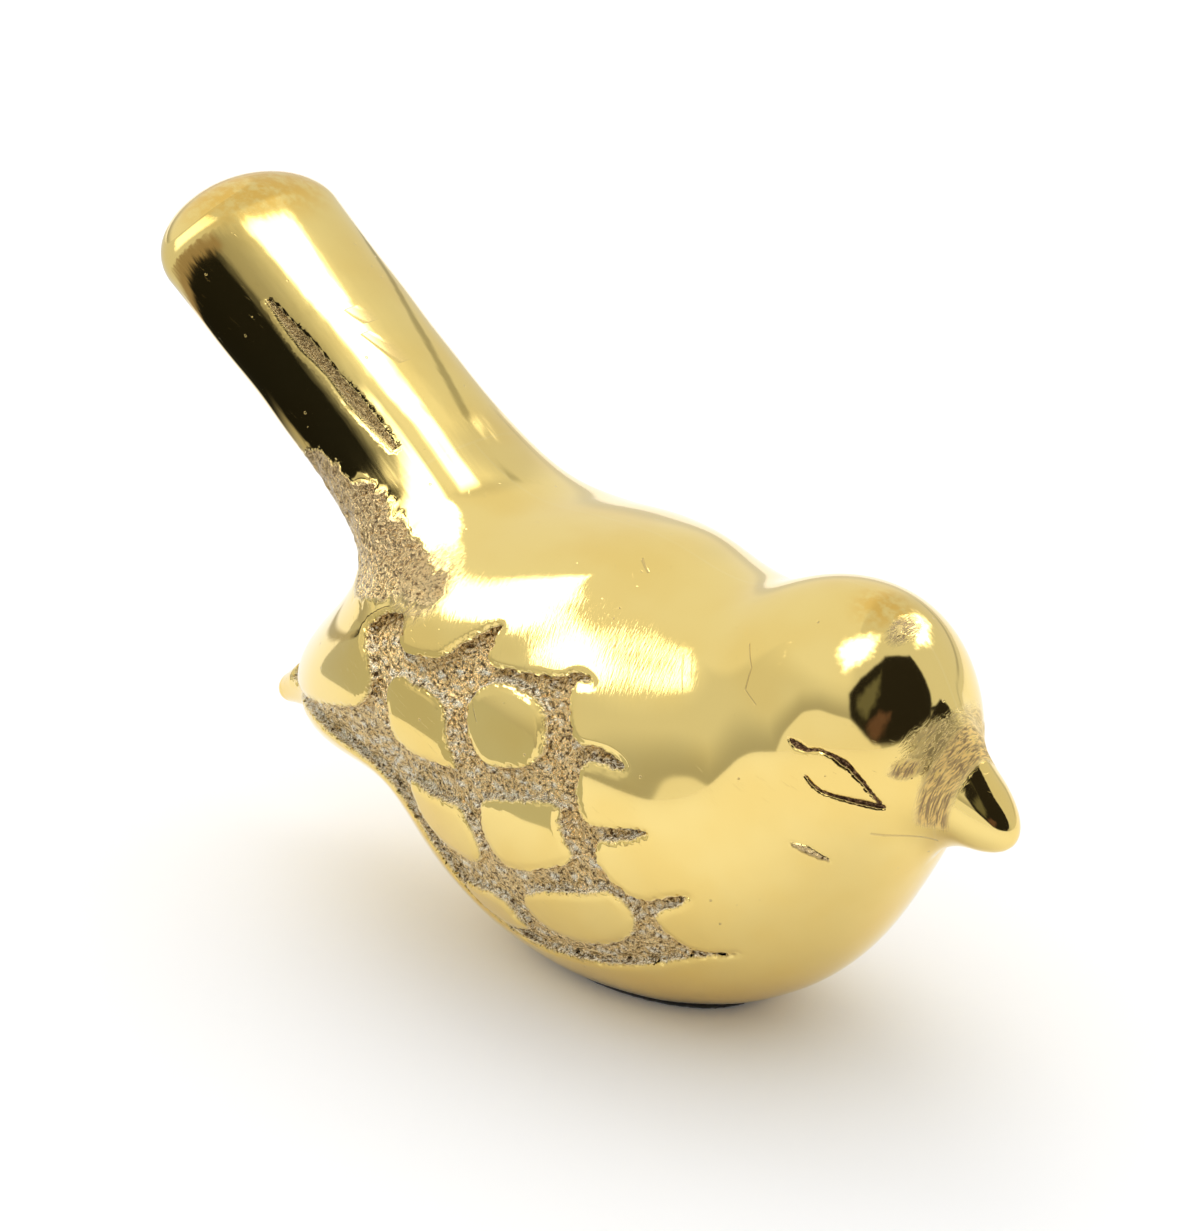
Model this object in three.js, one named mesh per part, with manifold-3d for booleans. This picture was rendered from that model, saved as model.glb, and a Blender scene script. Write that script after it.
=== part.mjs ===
// A cast brass bird paperweight in millimetres: +x is the beak end, +y the bird's left, z = 0 the table.
// The skin is one smooth function of space, so every casting is cut from the same shape.
import * as THREE from 'three';
import { mergeVertices } from 'three/addons/utils/BufferGeometryUtils.js';
import Module from 'manifold-3d';

const wasm = await Module();
wasm.setup();

// What the bird rests on
const feltThickness = 1.0;
const feltLength = 26.0;
const feltWidth = 16.0;
const glueThickness = 0.15;
const bellyFlatDepth = 1.65;

// Body
const bodyHalfLength = 26.5;
const bodyHalfWidth = 17.4;
const bodyHalfHeight = 20.0;

// Mantle: the back and the folded wings, which run from the shoulders down to the wing tips
const mantleHalfLength = 21.0;
const mantleInset = 1.9;
const mantleHalfHeight = 7.0;
const mantleSetIn = 6.5;
const mantleSink = 12.5;
const mantleSlope = 27;
const mantleBlend = 6.0;

// Head
const headHalfLength = 11.8;
const headHalfWidth = 10.8;
const headHalfHeight = 14.0;
const headSetIn = 5.0;
const headSink = 8.5;
const headNod = 19;
const headBlend = 6.0;

// Beak
const beakLength = 6.4;
const beakRootRadius = 5.4;
const beakTipRadius = 1.2;
const beakReach = 1.5;
const beakDrop = 1.9;
const beakDroop = 18;
const beakBlend = 1.0;

// Tail paddle
const tailLength = 43.3;
const tailRootThickness = 10.8;
const tailTipThickness = 12.6;
const tailFlatness = 1.7;
const tailSetIn = 7.0;
const tailSink = 5.3;
const tailRise = 35;
const tailBlend = 6.0;

// Crossed wing tips
const wingTipLength = 29.2;
const wingTipRootRadius = 7.0;
const wingTipEndRadius = 0.9;
const wingTipFlatness = 1.4;
const wingTipSetIn = 4.5;
const wingTipSink = 13.0;
const wingTipDroop = 27;
const wingTipBlend = 4.0;

// Carving
const featherDepth = 0.9;
const featherEdge = 0.8;
const eyeLength = 9.2;
const eyeHeight = 3.0;
const eyeForward = 6.6;
const eyeRise = 1.1;
const eyeTilt = -36;
const eyeLineRadius = 0.4;

// Castings and how they join
const coreEndWall = 7.5;
const coreSideWall = 4.9;
const coreTopWall = 5.5;
const coreSetBack = 5.0;
const coreRise = 1.0;
const seamThickness = 0.25;
const brazeThickness = 0.3;
const jointGap = 0.25;
const fitClearance = 0.3;
const tailJointAt = 11.0;
const tailSpigotLength = 7.0;
const tailSpigotThickness = 8.0;
const tailWall = 2.6;
const tailEndWall = 4.0;
const beakJointAt = 0.5;
const beakSpigotLength = 5.0;
const beakSpigotRadius = 1.8;
const plugRadius = 4.7;
const plugStandIn = 0.8;

// How finely the skin is divided: over the feathers, over the small beak, elsewhere, and across the bird
const carvedStep = 1.45;
const beakStep = 1.3;
const plainStep = 3.0;
const acrossStep = 2.9;

// Sides of the round forms
const barSides = 24;
const coreSides = 24;
const coreRings = 16;
const plugSides = 32;
const padSides = 40;
const eyePoints = 40;
const eyeLineSides = 6;

// Places, all worked out from the sizes above
const mantleHalfWidth = bodyHalfWidth - mantleInset;
const radians = THREE.MathUtils.degToRad;
const flatHeight = feltThickness + glueThickness;
const bodyAt = { x: 0, z: flatHeight + bodyHalfHeight - bellyFlatDepth };
const mantleAt = {
  x: -(bodyHalfLength - mantleSetIn),
  z: bodyAt.z + bodyHalfHeight - mantleSink,
};
const headAt = {
  x: bodyHalfLength - headSetIn,
  z: bodyAt.z + bodyHalfHeight - headSink,
};
const beakRoot = {
  x: headAt.x + headHalfLength + beakReach,
  z: headAt.z - beakDrop,
};
const tailRoot = {
  x: -(bodyHalfLength - tailSetIn),
  z: bodyAt.z + bodyHalfHeight - tailSink,
};
const wingTipRoot = {
  x: -(bodyHalfLength - wingTipSetIn),
  z: bodyAt.z + bodyHalfHeight - wingTipSink,
};
const beakWay = { x: Math.cos(radians(beakDroop)), z: -Math.sin(radians(beakDroop)) };
const tailWay = { x: -Math.cos(radians(tailRise)), z: Math.sin(radians(tailRise)) };
const wingTipWay = { x: -Math.cos(radians(wingTipDroop)), z: -Math.sin(radians(wingTipDroop)) };
const along = (root, way, distance) => ({ x: root.x + way.x * distance, z: root.z + way.z * distance });
const tailTip = along(tailRoot, tailWay, tailLength);
const wingTipEnd = along(wingTipRoot, wingTipWay, wingTipLength);
const beakTip = along(beakRoot, beakWay, beakLength);

// The feather field of one wing, seen from its side, which follows the body: lengths along the bird
// are shares of the body's half length and heights are shares of its half height, from its centre.
// Raised feathers stand in rough sunk ground, which this outline bounds.
const groundOutline = [
  [0.245, 0.860], [0.400, 0.480], [0.506, 0.250], [0.709, -0.030],
  [0.868, -0.370], [0.604, -0.500], [0.377, -0.610], [0.075, -0.690],
  [-0.226, -0.600], [-0.491, -0.440], [-0.717, -0.275], [-0.981, -0.050],
  [-1.283, 0.000], [-1.585, -0.175], [-1.283, 0.175], [-0.906, 0.475],
  [-0.943, 0.800], [-0.792, 1.100], [-0.660, 1.050], [-0.604, 0.850],
  [-0.340, 0.900], [-0.189, 0.975], [-0.075, 0.890],
].map(([x, z]) => [x * bodyHalfLength, z * bodyHalfHeight]);
const feathers = [
  { x: 0.340, z: 0.640, halfLength: 0.245, halfHeight: 0.140, tilt: 3 },
  { x: 0.445, z: 0.330, halfLength: 0.245, halfHeight: 0.105, tilt: 6 },
  { x: 0.547, z: 0.040, halfLength: 0.245, halfHeight: 0.155, tilt: 15 },
  { x: 0.774, z: -0.230, halfLength: 0.245, halfHeight: 0.115, tilt: 20 },
  { x: -0.140, z: 0.460, halfLength: 0.177, halfHeight: 0.190, tilt: -6 },
  { x: -0.004, z: -0.030, halfLength: 0.211, halfHeight: 0.150, tilt: 8 },
  { x: 0.196, z: -0.360, halfLength: 0.249, halfHeight: 0.125, tilt: 17 },
  { x: -0.513, z: 0.380, halfLength: 0.143, halfHeight: 0.245, tilt: 0 },
  { x: -0.430, z: -0.155, halfLength: 0.196, halfHeight: 0.120, tilt: -5 },
  { x: -0.151, z: -0.485, halfLength: 0.113, halfHeight: 0.070, tilt: 10 },
  { x: -1.132, z: 0.330, halfLength: 0.509, halfHeight: 0.180, tilt: 28 },
  { x: -1.151, z: -0.060, halfLength: 0.547, halfHeight: 0.130, tilt: 13 },
  { x: -0.509, z: 0.925, halfLength: 0.170, halfHeight: 0.210, tilt: -8 },
  { x: -0.030, z: 0.950, halfLength: 0.200, halfHeight: 0.190, tilt: 5 },
].map((feather) => ({
  x: feather.x * bodyHalfLength,
  z: feather.z * bodyHalfHeight,
  halfLength: feather.halfLength * bodyHalfLength,
  halfHeight: feather.halfHeight * bodyHalfHeight,
  tilt: feather.tilt,
}));
const featherSquareness = 2.8;

const smoothMin = (a, b, blend) => 0.5 * (a + b - Math.sqrt((a - b) ** 2 + blend * blend));
const smoothStep = (from, to, value) => {
  const t = Math.min(Math.max((value - from) / (to - from), 0), 1);
  return t * t * (3 - 2 * t);
};

// About how far a point lies outside an ellipsoid whose front end is turned down by nod degrees.
function ellipsoidAt(x, y, z, centre, halfLength, halfWidth, halfHeight, nod) {
  const c = Math.cos(radians(nod));
  const s = Math.sin(radians(nod));
  const dx = x - centre.x;
  const dz = z - centre.z;
  const u = c * dx - s * dz;
  const w = s * dx + c * dz;
  const near = Math.hypot(u / halfLength, y / halfWidth, w / halfHeight);
  const slope = Math.hypot(u / halfLength ** 2, y / halfWidth ** 2, w / halfHeight ** 2) + 1e-9;
  return (near * (near - 1)) / slope;
}

// About how far a point lies outside a round-ended taper, widened across the bird by flatness.
function taperAt(x, y, z, from, to, fromRadius, toRadius, flatness) {
  const ax = to.x - from.x;
  const az = to.z - from.z;
  const dx = x - from.x;
  const dz = z - from.z;
  const t = Math.min(Math.max((dx * ax + dz * az) / (ax * ax + az * az), 0), 1);
  return Math.hypot(dx - t * ax, y / flatness, dz - t * az) - fromRadius - (toRadius - fromRadius) * t;
}

// The uncarved bird
function plainSkin(x, y, z) {
  const body = ellipsoidAt(x, y, z, bodyAt, bodyHalfLength, bodyHalfWidth, bodyHalfHeight, 0);
  const mantle = ellipsoidAt(
    x, y, z, mantleAt, mantleHalfLength, mantleHalfWidth, mantleHalfHeight, -mantleSlope,
  );
  const head = ellipsoidAt(x, y, z, headAt, headHalfLength, headHalfWidth, headHalfHeight, headNod);
  const wingTip = taperAt(
    x, y, z, wingTipRoot, wingTipEnd, wingTipRootRadius, wingTipEndRadius, wingTipFlatness,
  );
  const tail = taperAt(
    x, y, z, tailRoot, tailTip, tailRootThickness / 2, tailTipThickness / 2, tailFlatness,
  );
  const beak = taperAt(x, y, z, beakRoot, beakTip, beakRootRadius, beakTipRadius, 1);
  let skin = smoothMin(body, mantle, mantleBlend);
  skin = smoothMin(skin, head, headBlend);
  skin = smoothMin(skin, wingTip, wingTipBlend);
  skin = smoothMin(skin, tail, tailBlend);
  return smoothMin(skin, beak, beakBlend);
}

// How far a side-view point lies inside a closed outline, negative outside it.
function insideOutline(outline, x, z) {
  let nearest = Infinity;
  let inside = false;
  outline.forEach(([bx, bz], i) => {
    const [ax, az] = outline[(i + 1) % outline.length];
    const ex = ax - bx;
    const ez = az - bz;
    const t = Math.min(Math.max(((x - bx) * ex + (z - bz) * ez) / (ex * ex + ez * ez), 0), 1);
    nearest = Math.min(nearest, Math.hypot(x - bx - t * ex, z - bz - t * ez));
    const crosses = (az > z) !== (bz > z) && x < ((bx - ax) * (z - az)) / (bz - az) + ax;
    inside = crosses ? !inside : inside;
  });
  return inside ? nearest : -nearest;
}

// How far a side-view point lies inside one feather's rounded oblong, negative outside it.
function insideFeather(feather, x, z) {
  const c = Math.cos(radians(feather.tilt));
  const s = Math.sin(radians(feather.tilt));
  const u = Math.abs(c * (x - feather.x) + s * (z - feather.z)) / feather.halfLength;
  const w = Math.abs(c * (z - feather.z) - s * (x - feather.x)) / feather.halfHeight;
  const reach = (u ** featherSquareness + w ** featherSquareness) ** (1 / featherSquareness);
  return (1 - reach) * Math.min(feather.halfLength, feather.halfHeight);
}

// How deep the ground between the feathers is sunk at a point of the skin
function carvedDepth(x, z) {
  const sideX = x - bodyAt.x;
  const sideZ = z - bodyAt.z;
  const ground = smoothStep(-featherEdge, featherEdge, insideOutline(groundOutline, sideX, sideZ));
  if (ground === 0) {
    return 0;
  }
  const raised = Math.max(...feathers.map((feather) => insideFeather(feather, sideX, sideZ)));
  return featherDepth * ground * (1 - smoothStep(-featherEdge, featherEdge, raised));
}

const skinAt = (x, y, z) => plainSkin(x, y, z) + carvedDepth(x, z);

// The unit direction in which the skin's function grows fastest, and its slope there
function slopeAt(field, x, y, z) {
  const step = 0.02;
  const gx = field(x + step, y, z) - field(x - step, y, z);
  const gy = field(x, y + step, z) - field(x, y - step, z);
  const gz = field(x, y, z + step) - field(x, y, z - step);
  const size = Math.hypot(gx, gy, gz) + 1e-12;
  return { x: gx / size, y: gy / size, z: gz / size, slope: size / (2 * step) };
}

// A point moved along the field's slope onto its zero surface
function settle(field, point, rounds, farthest) {
  for (let i = 0; i < rounds; i += 1) {
    const way = slopeAt(field, ...point);
    const step = field(...point) / Math.max(way.slope, 0.3);
    const move = Math.min(Math.max(step, -farthest), farthest);
    point[0] -= way.x * move;
    point[1] -= way.y * move;
    point[2] -= way.z * move;
  }
  return point;
}

// Division planes from the ends and steps of successive stretches
function planes(start, stretches) {
  const at = [start];
  let from = start;
  for (const [to, step] of stretches) {
    const count = Math.max(1, Math.round((to - from) / step));
    for (let i = 1; i <= count; i += 1) {
      at.push(from + ((to - from) * i) / count);
    }
    from = to;
  }
  return at;
}

// The grid edges of one box that the surface crosses, in groups that belong to one sheet of it. A
// corner's number has one bit for each axis, and an edge is its lower corner and the axis it runs along.
function sheetsIn(corners) {
  const sheetOf = new Map();
  const join = (one, other) => {
    const from = sheetOf.get(one);
    const to = sheetOf.get(other);
    sheetOf.forEach((sheet, edge) => sheetOf.set(edge, sheet === from ? to : sheet));
  };
  const edgeBetween = (one, other) => 3 * Math.min(one, other) + Math.log2(one ^ other);
  for (let one = 0; one < 8; one += 1) {
    for (const bit of [1, 2, 4]) {
      if ((one & bit) === 0 && (corners[one] < 0) !== (corners[one | bit] < 0)) {
        sheetOf.set(edgeBetween(one, one | bit), edgeBetween(one, one | bit));
      }
    }
  }
  for (const axis of [0, 1, 2]) {
    const right = 1 << ((axis + 1) % 3);
    const up = 1 << ((axis + 2) % 3);
    for (const base of [0, 1 << axis]) {
      const ring = [base, base | right, base | right | up, base | up];
      const edges = ring.map((one, i) => edgeBetween(one, ring[(i + 1) % 4]));
      const crossed = edges.filter((edge) => sheetOf.has(edge));
      if (crossed.length === 2) {
        join(...crossed);
      }
      if (crossed.length === 4) {
        ring.forEach((one, i) => corners[one] < 0 && join(edges[i], edges[(i + 3) % 4]));
      }
    }
  }
  return sheetOf;
}

// The zero surface of a field as a closed mesh: one point for each sheet of the surface in each box
// of the grid, and one four-sided face, split in two, round each grid edge that the surface crosses.
function surfaceOf(field, xs, ys, zs) {
  const index = (i, j, k) => (i * ys.length + j) * zs.length + k;
  const value = new Float64Array(xs.length * ys.length * zs.length);
  xs.forEach((x, i) => ys.forEach((y, j) => zs.forEach((z, k) => {
    value[index(i, j, k)] = field(x, y, z);
  })));
  const eachBox = (from, visit) => {
    for (let i = from; i < xs.length - 1; i += 1) {
      for (let j = from; j < ys.length - 1; j += 1) {
        for (let k = from; k < zs.length - 1; k += 1) {
          visit([i, j, k]);
        }
      }
    }
  };
  const points = [];
  const pointOf = new Map();
  eachBox(0, (box) => {
    const cornerOf = (one) => box.map((v, axis) => v + ((one >> axis) & 1));
    const corners = [0, 1, 2, 3, 4, 5, 6, 7].map((one) => value[index(...cornerOf(one))]);
    if (corners.every((v) => v < 0) || corners.every((v) => v >= 0)) {
      return;
    }
    const sheets = new Map();
    sheetsIn(corners).forEach((sheet, edge) => {
      const one = Math.floor(edge / 3);
      const other = one | (1 << (edge % 3));
      const share = corners[one] / (corners[one] - corners[other]);
      const [start, end] = [one, other].map((corner) => {
        const [i, j, k] = cornerOf(corner);
        return [xs[i], ys[j], zs[k]];
      });
      const sum = sheets.get(sheet) ?? { at: [0, 0, 0], edges: [] };
      sum.at = sum.at.map((v, c) => v + start[c] + share * (end[c] - start[c]));
      sum.edges.push(edge);
      sheets.set(sheet, sum);
    });
    sheets.forEach(({ at, edges }) => {
      edges.forEach((edge) => pointOf.set(24 * index(...box) + edge, points.length / 3));
      points.push(...settle(field, at.map((v) => v / edges.length), 3, carvedStep / 4));
    });
  });
  const faces = [];
  const apart = (a, b) => Math.hypot(...[0, 1, 2].map((c) => points[3 * a + c] - points[3 * b + c]));
  eachBox(1, (box) => {
    for (const axis of [0, 1, 2]) {
      const ahead = box.map((v, c) => v + (c === axis ? 1 : 0));
      const inside = value[index(...box)] < 0;
      if (inside === value[index(...ahead)] < 0) {
        continue;
      }
      const ring = [[0, 0], [1, 0], [1, 1], [0, 1]].map(([right, up]) => {
        const back = [0, 0, 0];
        back[(axis + 1) % 3] = right;
        back[(axis + 2) % 3] = up;
        const corner = back[0] + 2 * back[1] + 4 * back[2];
        return pointOf.get(24 * index(...box.map((v, c) => v - back[c])) + 3 * corner + axis);
      });
      const [a, b, c, d] = inside ? ring : ring.reverse();
      faces.push(...(apart(a, c) < apart(b, d) ? [a, b, c, a, c, d] : [b, c, d, b, d, a]));
    }
  });
  const geometry = new THREE.BufferGeometry();
  geometry.setAttribute('position', new THREE.Float32BufferAttribute(points, 3));
  geometry.setIndex(faces);
  return geometry;
}

// A three.js geometry as a solid that can be joined and cut
function solidOf(geometry, matrix) {
  const shape = geometry.clone();
  shape.deleteAttribute('normal');
  shape.deleteAttribute('uv');
  if (matrix) {
    shape.applyMatrix4(matrix);
  }
  const merged = mergeVertices(shape, 1e-4);
  return new wasm.Manifold(new wasm.Mesh({
    numProp: 3,
    vertProperties: Float32Array.from(merged.attributes.position.array),
    triVerts: Uint32Array.from(merged.index.array),
  }));
}

function geometryOf(solid) {
  const { vertProperties, triVerts } = solid.getMesh();
  const geometry = new THREE.BufferGeometry();
  geometry.setAttribute('position', new THREE.Float32BufferAttribute(vertProperties, 3));
  geometry.setIndex([...triVerts]);
  geometry.computeVertexNormals();
  return geometry;
}

// A frame with its own x along a slanting part, its y across the bird and its z square to both
function slantedFrame(root, way, distance) {
  const at = along(root, way, distance);
  const matrix = new THREE.Matrix4().makeBasis(
    new THREE.Vector3(way.x, 0, way.z),
    new THREE.Vector3(0, 1, 0),
    new THREE.Vector3(-way.z, 0, way.x),
  );
  return matrix.setPosition(at.x, 0, at.z);
}

// A box between two x values of a slanting frame, reaching the same way to all other sides
function slab(frame, fromX, toX, reachY, reachZ) {
  const box = new THREE.BoxGeometry(toX - fromX, 2 * reachY, 2 * reachZ);
  box.translate((fromX + toX) / 2, 0, 0);
  return solidOf(box, frame);
}

// A round bar along a slanting frame's x, widened across the bird by flatness
function bar(frame, fromX, toX, fromRadius, toRadius, flatness) {
  const shape = new THREE.CylinderGeometry(toRadius, fromRadius, toX - fromX, barSides);
  shape.rotateZ(-Math.PI / 2);
  shape.translate((fromX + toX) / 2, 0, 0);
  shape.scale(1, flatness, 1);
  return solidOf(shape, frame);
}

// A side-view outline, extruded the same way to both sides of the bird's middle
function sidewaysPrism(outline, reach) {
  const shape = new THREE.Shape(outline.map(([x, z]) => new THREE.Vector2(x, z)));
  const prism = new THREE.ExtrudeGeometry(shape, { depth: 2 * reach, bevelEnabled: false });
  prism.rotateX(Math.PI / 2).translate(0, reach, 0);
  return solidOf(prism);
}

function boxBetween(low, high) {
  const box = new THREE.BoxGeometry(...high.map((v, i) => v - low[i]));
  box.translate(...high.map((v, i) => (v + low[i]) / 2));
  return solidOf(box);
}

// The graver's path round one eye: a closed almond on the skin
function eyeLine(side) {
  const centre = { x: headAt.x + eyeForward, z: headAt.z + eyeRise };
  const c = Math.cos(radians(eyeTilt));
  const s = Math.sin(radians(eyeTilt));
  const path = [];
  for (let i = 0; i < eyePoints; i += 1) {
    const turn = (2 * Math.PI * i) / eyePoints;
    const u = (eyeLength / 2) * Math.cos(turn);
    const w = (eyeHeight / 2) * Math.sin(turn) * Math.abs(Math.sin(turn)) ** 0.5;
    const x = centre.x + c * u - s * w;
    const z = centre.z + s * u + c * w;
    path.push(new THREE.Vector3(...onSide(x, z, side)));
  }
  return new THREE.CatmullRomCurve3(path, true);
}

// The skin's point at a side-view place, closed in on from outside the bird by careful steps
function onSide(x, z, side) {
  const steps = 60;
  const caution = 0.8;
  let y = bodyHalfWidth + mantleHalfWidth;
  for (let i = 0; i < steps; i += 1) {
    y -= caution * plainSkin(x, y, z);
  }
  return [x, side * y, z];
}

// A thin tube along a closed curve on the skin: a ring of the same divisions, moved onto the curve
function tubeAlong(curve, radius) {
  const steps = eyePoints;
  const sides = eyeLineSides;
  const torus = new THREE.TorusGeometry(1, radius, sides, steps);
  const points = curve.getSpacedPoints(steps);
  const places = torus.attributes.position;
  for (let i = 0; i <= steps; i += 1) {
    const at = points[i % steps];
    const ahead = points[(i + 1) % steps].clone().sub(points[(i + steps - 1) % steps]).normalize();
    const out = slopeAt(plainSkin, at.x, at.y, at.z);
    const up = new THREE.Vector3(out.x, out.y, out.z);
    const across = new THREE.Vector3().crossVectors(ahead, up).normalize();
    for (let j = 0; j <= sides; j += 1) {
      const turn = (2 * Math.PI * (j % sides)) / sides;
      const place = at.clone()
        .addScaledVector(up, radius * Math.sin(turn))
        .addScaledVector(across, radius * Math.cos(turn));
      places.setXYZ(j * (steps + 1) + i, place.x, place.y, place.z);
    }
  }
  return solidOf(torus);
}

// The whole carved skin, before it is divided into castings. The grid passes the skin by two steps.
const margin = 4;
const blendSwell = (mantleBlend + headBlend) / 2;
const beyond = blendSwell + 2 * plainStep;
const tallest = Math.max(tailTip.z + tailTipThickness / 2, headAt.z + headHalfHeight);
const widest = Math.max(bodyHalfWidth, mantleHalfWidth, (tailTipThickness / 2) * tailFlatness);
const carvedFrom = wingTipEnd.x - wingTipEndRadius - carvedStep;
const carvedTo = bodyAt.x + Math.max(...groundOutline.map(([x]) => x)) + carvedStep;
const xs = planes(tailTip.x - tailTipThickness / 2 - beyond, [
  [carvedFrom, plainStep],
  [carvedTo, carvedStep],
  [beakRoot.x, plainStep],
  [beakTip.x + beakTipRadius + 2 * beakStep, beakStep],
]);
const ys = planes(-widest - beyond, [[0, acrossStep], [widest + beyond, acrossStep]]);
const zs = planes(bodyAt.z - bodyHalfHeight - beyond, [
  [bodyAt.z - bodyHalfHeight / 2, plainStep],
  [bodyAt.z + bodyHalfHeight, carvedStep],
  [tallest + beyond, plainStep],
]);
let bird = solidOf(surfaceOf(skinAt, xs, ys, zs));
for (const side of [-1, 1]) {
  bird = bird.subtract(tubeAlong(eyeLine(side), eyeLineRadius));
}

// Cutting tools, all from the same sizes as the pieces that fit them
const far = 2 * (bodyHalfLength + tailLength);
const tailFrame = slantedFrame(tailRoot, tailWay, tailJointAt);
const tailReachY = (Math.max(tailRootThickness, tailTipThickness) / 2) * tailFlatness + margin;
const tailReachZ = Math.max(tailRootThickness, tailTipThickness) / 2 + margin + tailBlend / 2;
const beakFrame = slantedFrame(beakRoot, beakWay, beakJointAt);
const beakReachOut = beakRootRadius + margin;
const coreAt = { x: bodyAt.x - coreSetBack, z: bodyAt.z + coreRise };
const coreHalfHeight = bodyHalfHeight - coreTopWall;
const coreMatrix = new THREE.Matrix4().makeScale(
  bodyHalfLength - coreEndWall,
  bodyHalfWidth - coreSideWall,
  coreHalfHeight,
).setPosition(coreAt.x, 0, coreAt.z);
const core = solidOf(new THREE.SphereGeometry(1, coreSides, coreRings), coreMatrix);
const underside = boxBetween([-far, -far, -far], [far, far, flatHeight]);
const roundPost = new THREE.CylinderGeometry(1, 1, 1, plugSides).rotateX(Math.PI / 2);
const plugTop = coreAt.z - coreHalfHeight + plugStandIn;
const upright = (radius, low, high) => solidOf(roundPost, new THREE.Matrix4()
  .makeScale(radius, radius, high - low)
  .setPosition(bodyAt.x, 0, (low + high) / 2));
const tailSpigotRadius = tailSpigotThickness / 2;
const toCore = Math.hypot(tailRoot.x - coreAt.x, tailRoot.z - coreAt.z) + tailJointAt;
const tailBore = bar(
  tailFrame, -toCore, margin, tailSpigotRadius + fitClearance, tailSpigotRadius + fitClearance,
  tailFlatness,
);
const beakBore = bar(
  beakFrame, -beakSpigotLength - fitClearance, margin, beakSpigotRadius + fitClearance,
  beakSpigotRadius + fitClearance, 1,
);
const brazeFrom = jointGap;
const brazeTo = jointGap + brazeThickness;
const castFrom = brazeTo + jointGap;

// The body without its tail and beak, hollow, bored and ground flat underneath
const shell = bird
  .subtract(underside)
  .subtract(slab(tailFrame, 0, far, tailReachY, tailReachZ))
  .subtract(slab(beakFrame, 0, far, beakReachOut, beakReachOut))
  .subtract(core)
  .subtract(tailBore)
  .subtract(beakBore)
  .subtract(upright(plugRadius + fitClearance, -margin, plugTop + margin));

const seamHalf = seamThickness / 2;
const rightHalf = shell.intersect(boxBetween([-far, -far, -far], [far, -seamHalf, far]));
const leftHalf = shell.intersect(boxBetween([-far, seamHalf, -far], [far, far, far]));

// The seam's braze lies in two runs, which the tail bore and the plug bore keep apart. The line
// between them runs up the plug, through the hollow, and out along the tail bore.
const seam = shell.intersect(boxBetween([-far, -seamHalf, -far], [far, seamHalf, far]));
const tailFar = along(tailRoot, tailWay, far);
const behindBores = sidewaysPrism([
  [bodyAt.x, -far], [bodyAt.x, coreAt.z], [tailRoot.x, tailRoot.z], [tailFar.x, tailFar.z],
  [-2 * far, tailFar.z], [-2 * far, -far],
], far);
const rearSeam = seam.intersect(behindBores);
const frontSeam = seam.subtract(behindBores);

// The tail is cast hollow from its spigot, and the beak is solid.
const tailCore = bar(
  tailFrame, -tailSpigotLength - margin, tailLength - tailJointAt - tailEndWall,
  tailSpigotRadius - tailWall / 2, tailTipThickness / 2 - tailWall, tailFlatness,
);
const tail = bird
  .intersect(slab(tailFrame, castFrom, far, tailReachY, tailReachZ))
  .add(bar(tailFrame, -tailSpigotLength, castFrom + margin, tailSpigotRadius, tailSpigotRadius,
    tailFlatness))
  .subtract(tailCore);
const tailBraze = bird
  .intersect(slab(tailFrame, brazeFrom, brazeTo, tailReachY, tailReachZ))
  .subtract(tailBore);
const beak = bird
  .intersect(slab(beakFrame, castFrom, far, beakReachOut, beakReachOut))
  .add(bar(beakFrame, -beakSpigotLength, castFrom + beakSpigotRadius, beakSpigotRadius,
    beakSpigotRadius, 1));
const beakBraze = bird
  .intersect(slab(beakFrame, brazeFrom, brazeTo, beakReachOut, beakReachOut))
  .subtract(beakBore);
const plug = upright(plugRadius, flatHeight, plugTop);

// The felt and its glue share one oval outline.
function oval(thickness, low) {
  const outline = new THREE.Shape();
  outline.absellipse(bodyAt.x, 0, feltLength / 2, feltWidth / 2, 0, 2 * Math.PI, false, 0);
  const settings = { depth: thickness, bevelEnabled: false, curveSegments: padSides / 2 };
  return solidOf(new THREE.ExtrudeGeometry(outline, settings).translate(0, 0, low));
}

const brass = () => new THREE.MeshStandardMaterial({ color: 0xd9b65c, roughness: 0.16, metalness: 1 });
const braze = () => new THREE.MeshStandardMaterial({ color: 0xc9a352, roughness: 0.3, metalness: 1 });
const glue = () => new THREE.MeshStandardMaterial({ color: 0xcfc7a8, roughness: 0.5, metalness: 0 });
const felt = () => new THREE.MeshStandardMaterial({ color: 0x1d1d1b, roughness: 0.95, metalness: 0 });

const group = new THREE.Group();
const addPiece = (name, solid, material) => {
  const mesh = new THREE.Mesh(geometryOf(solid), material);
  mesh.name = name;
  group.add(mesh);
};
addPiece('right_body_half', rightHalf, brass());
addPiece('left_body_half', leftHalf, brass());
addPiece('front_seam_braze', frontSeam, braze());
addPiece('rear_seam_braze', rearSeam, braze());
addPiece('tail', tail, brass());
addPiece('tail_braze', tailBraze, braze());
addPiece('beak', beak, brass());
addPiece('beak_braze', beakBraze, braze());
addPiece('core_plug', plug, brass());
addPiece('pad_glue', oval(glueThickness, feltThickness), glue());
addPiece('felt_pad', oval(feltThickness, 0), felt());

export default group;
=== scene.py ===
"""A cast brass bird paperweight, polished bright over sunk feather ground, on a white table.

Lengths are held in millimetres and meshes are made in metres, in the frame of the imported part:
+x is the beak end, +y is the bird's left and z = 0 is the table.
"""
import logging
import math
from dataclasses import dataclass
from enum import Enum
from typing import Callable, Sequence

import bmesh
import bpy
import numpy as np
from mathutils import Matrix, Vector


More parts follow.
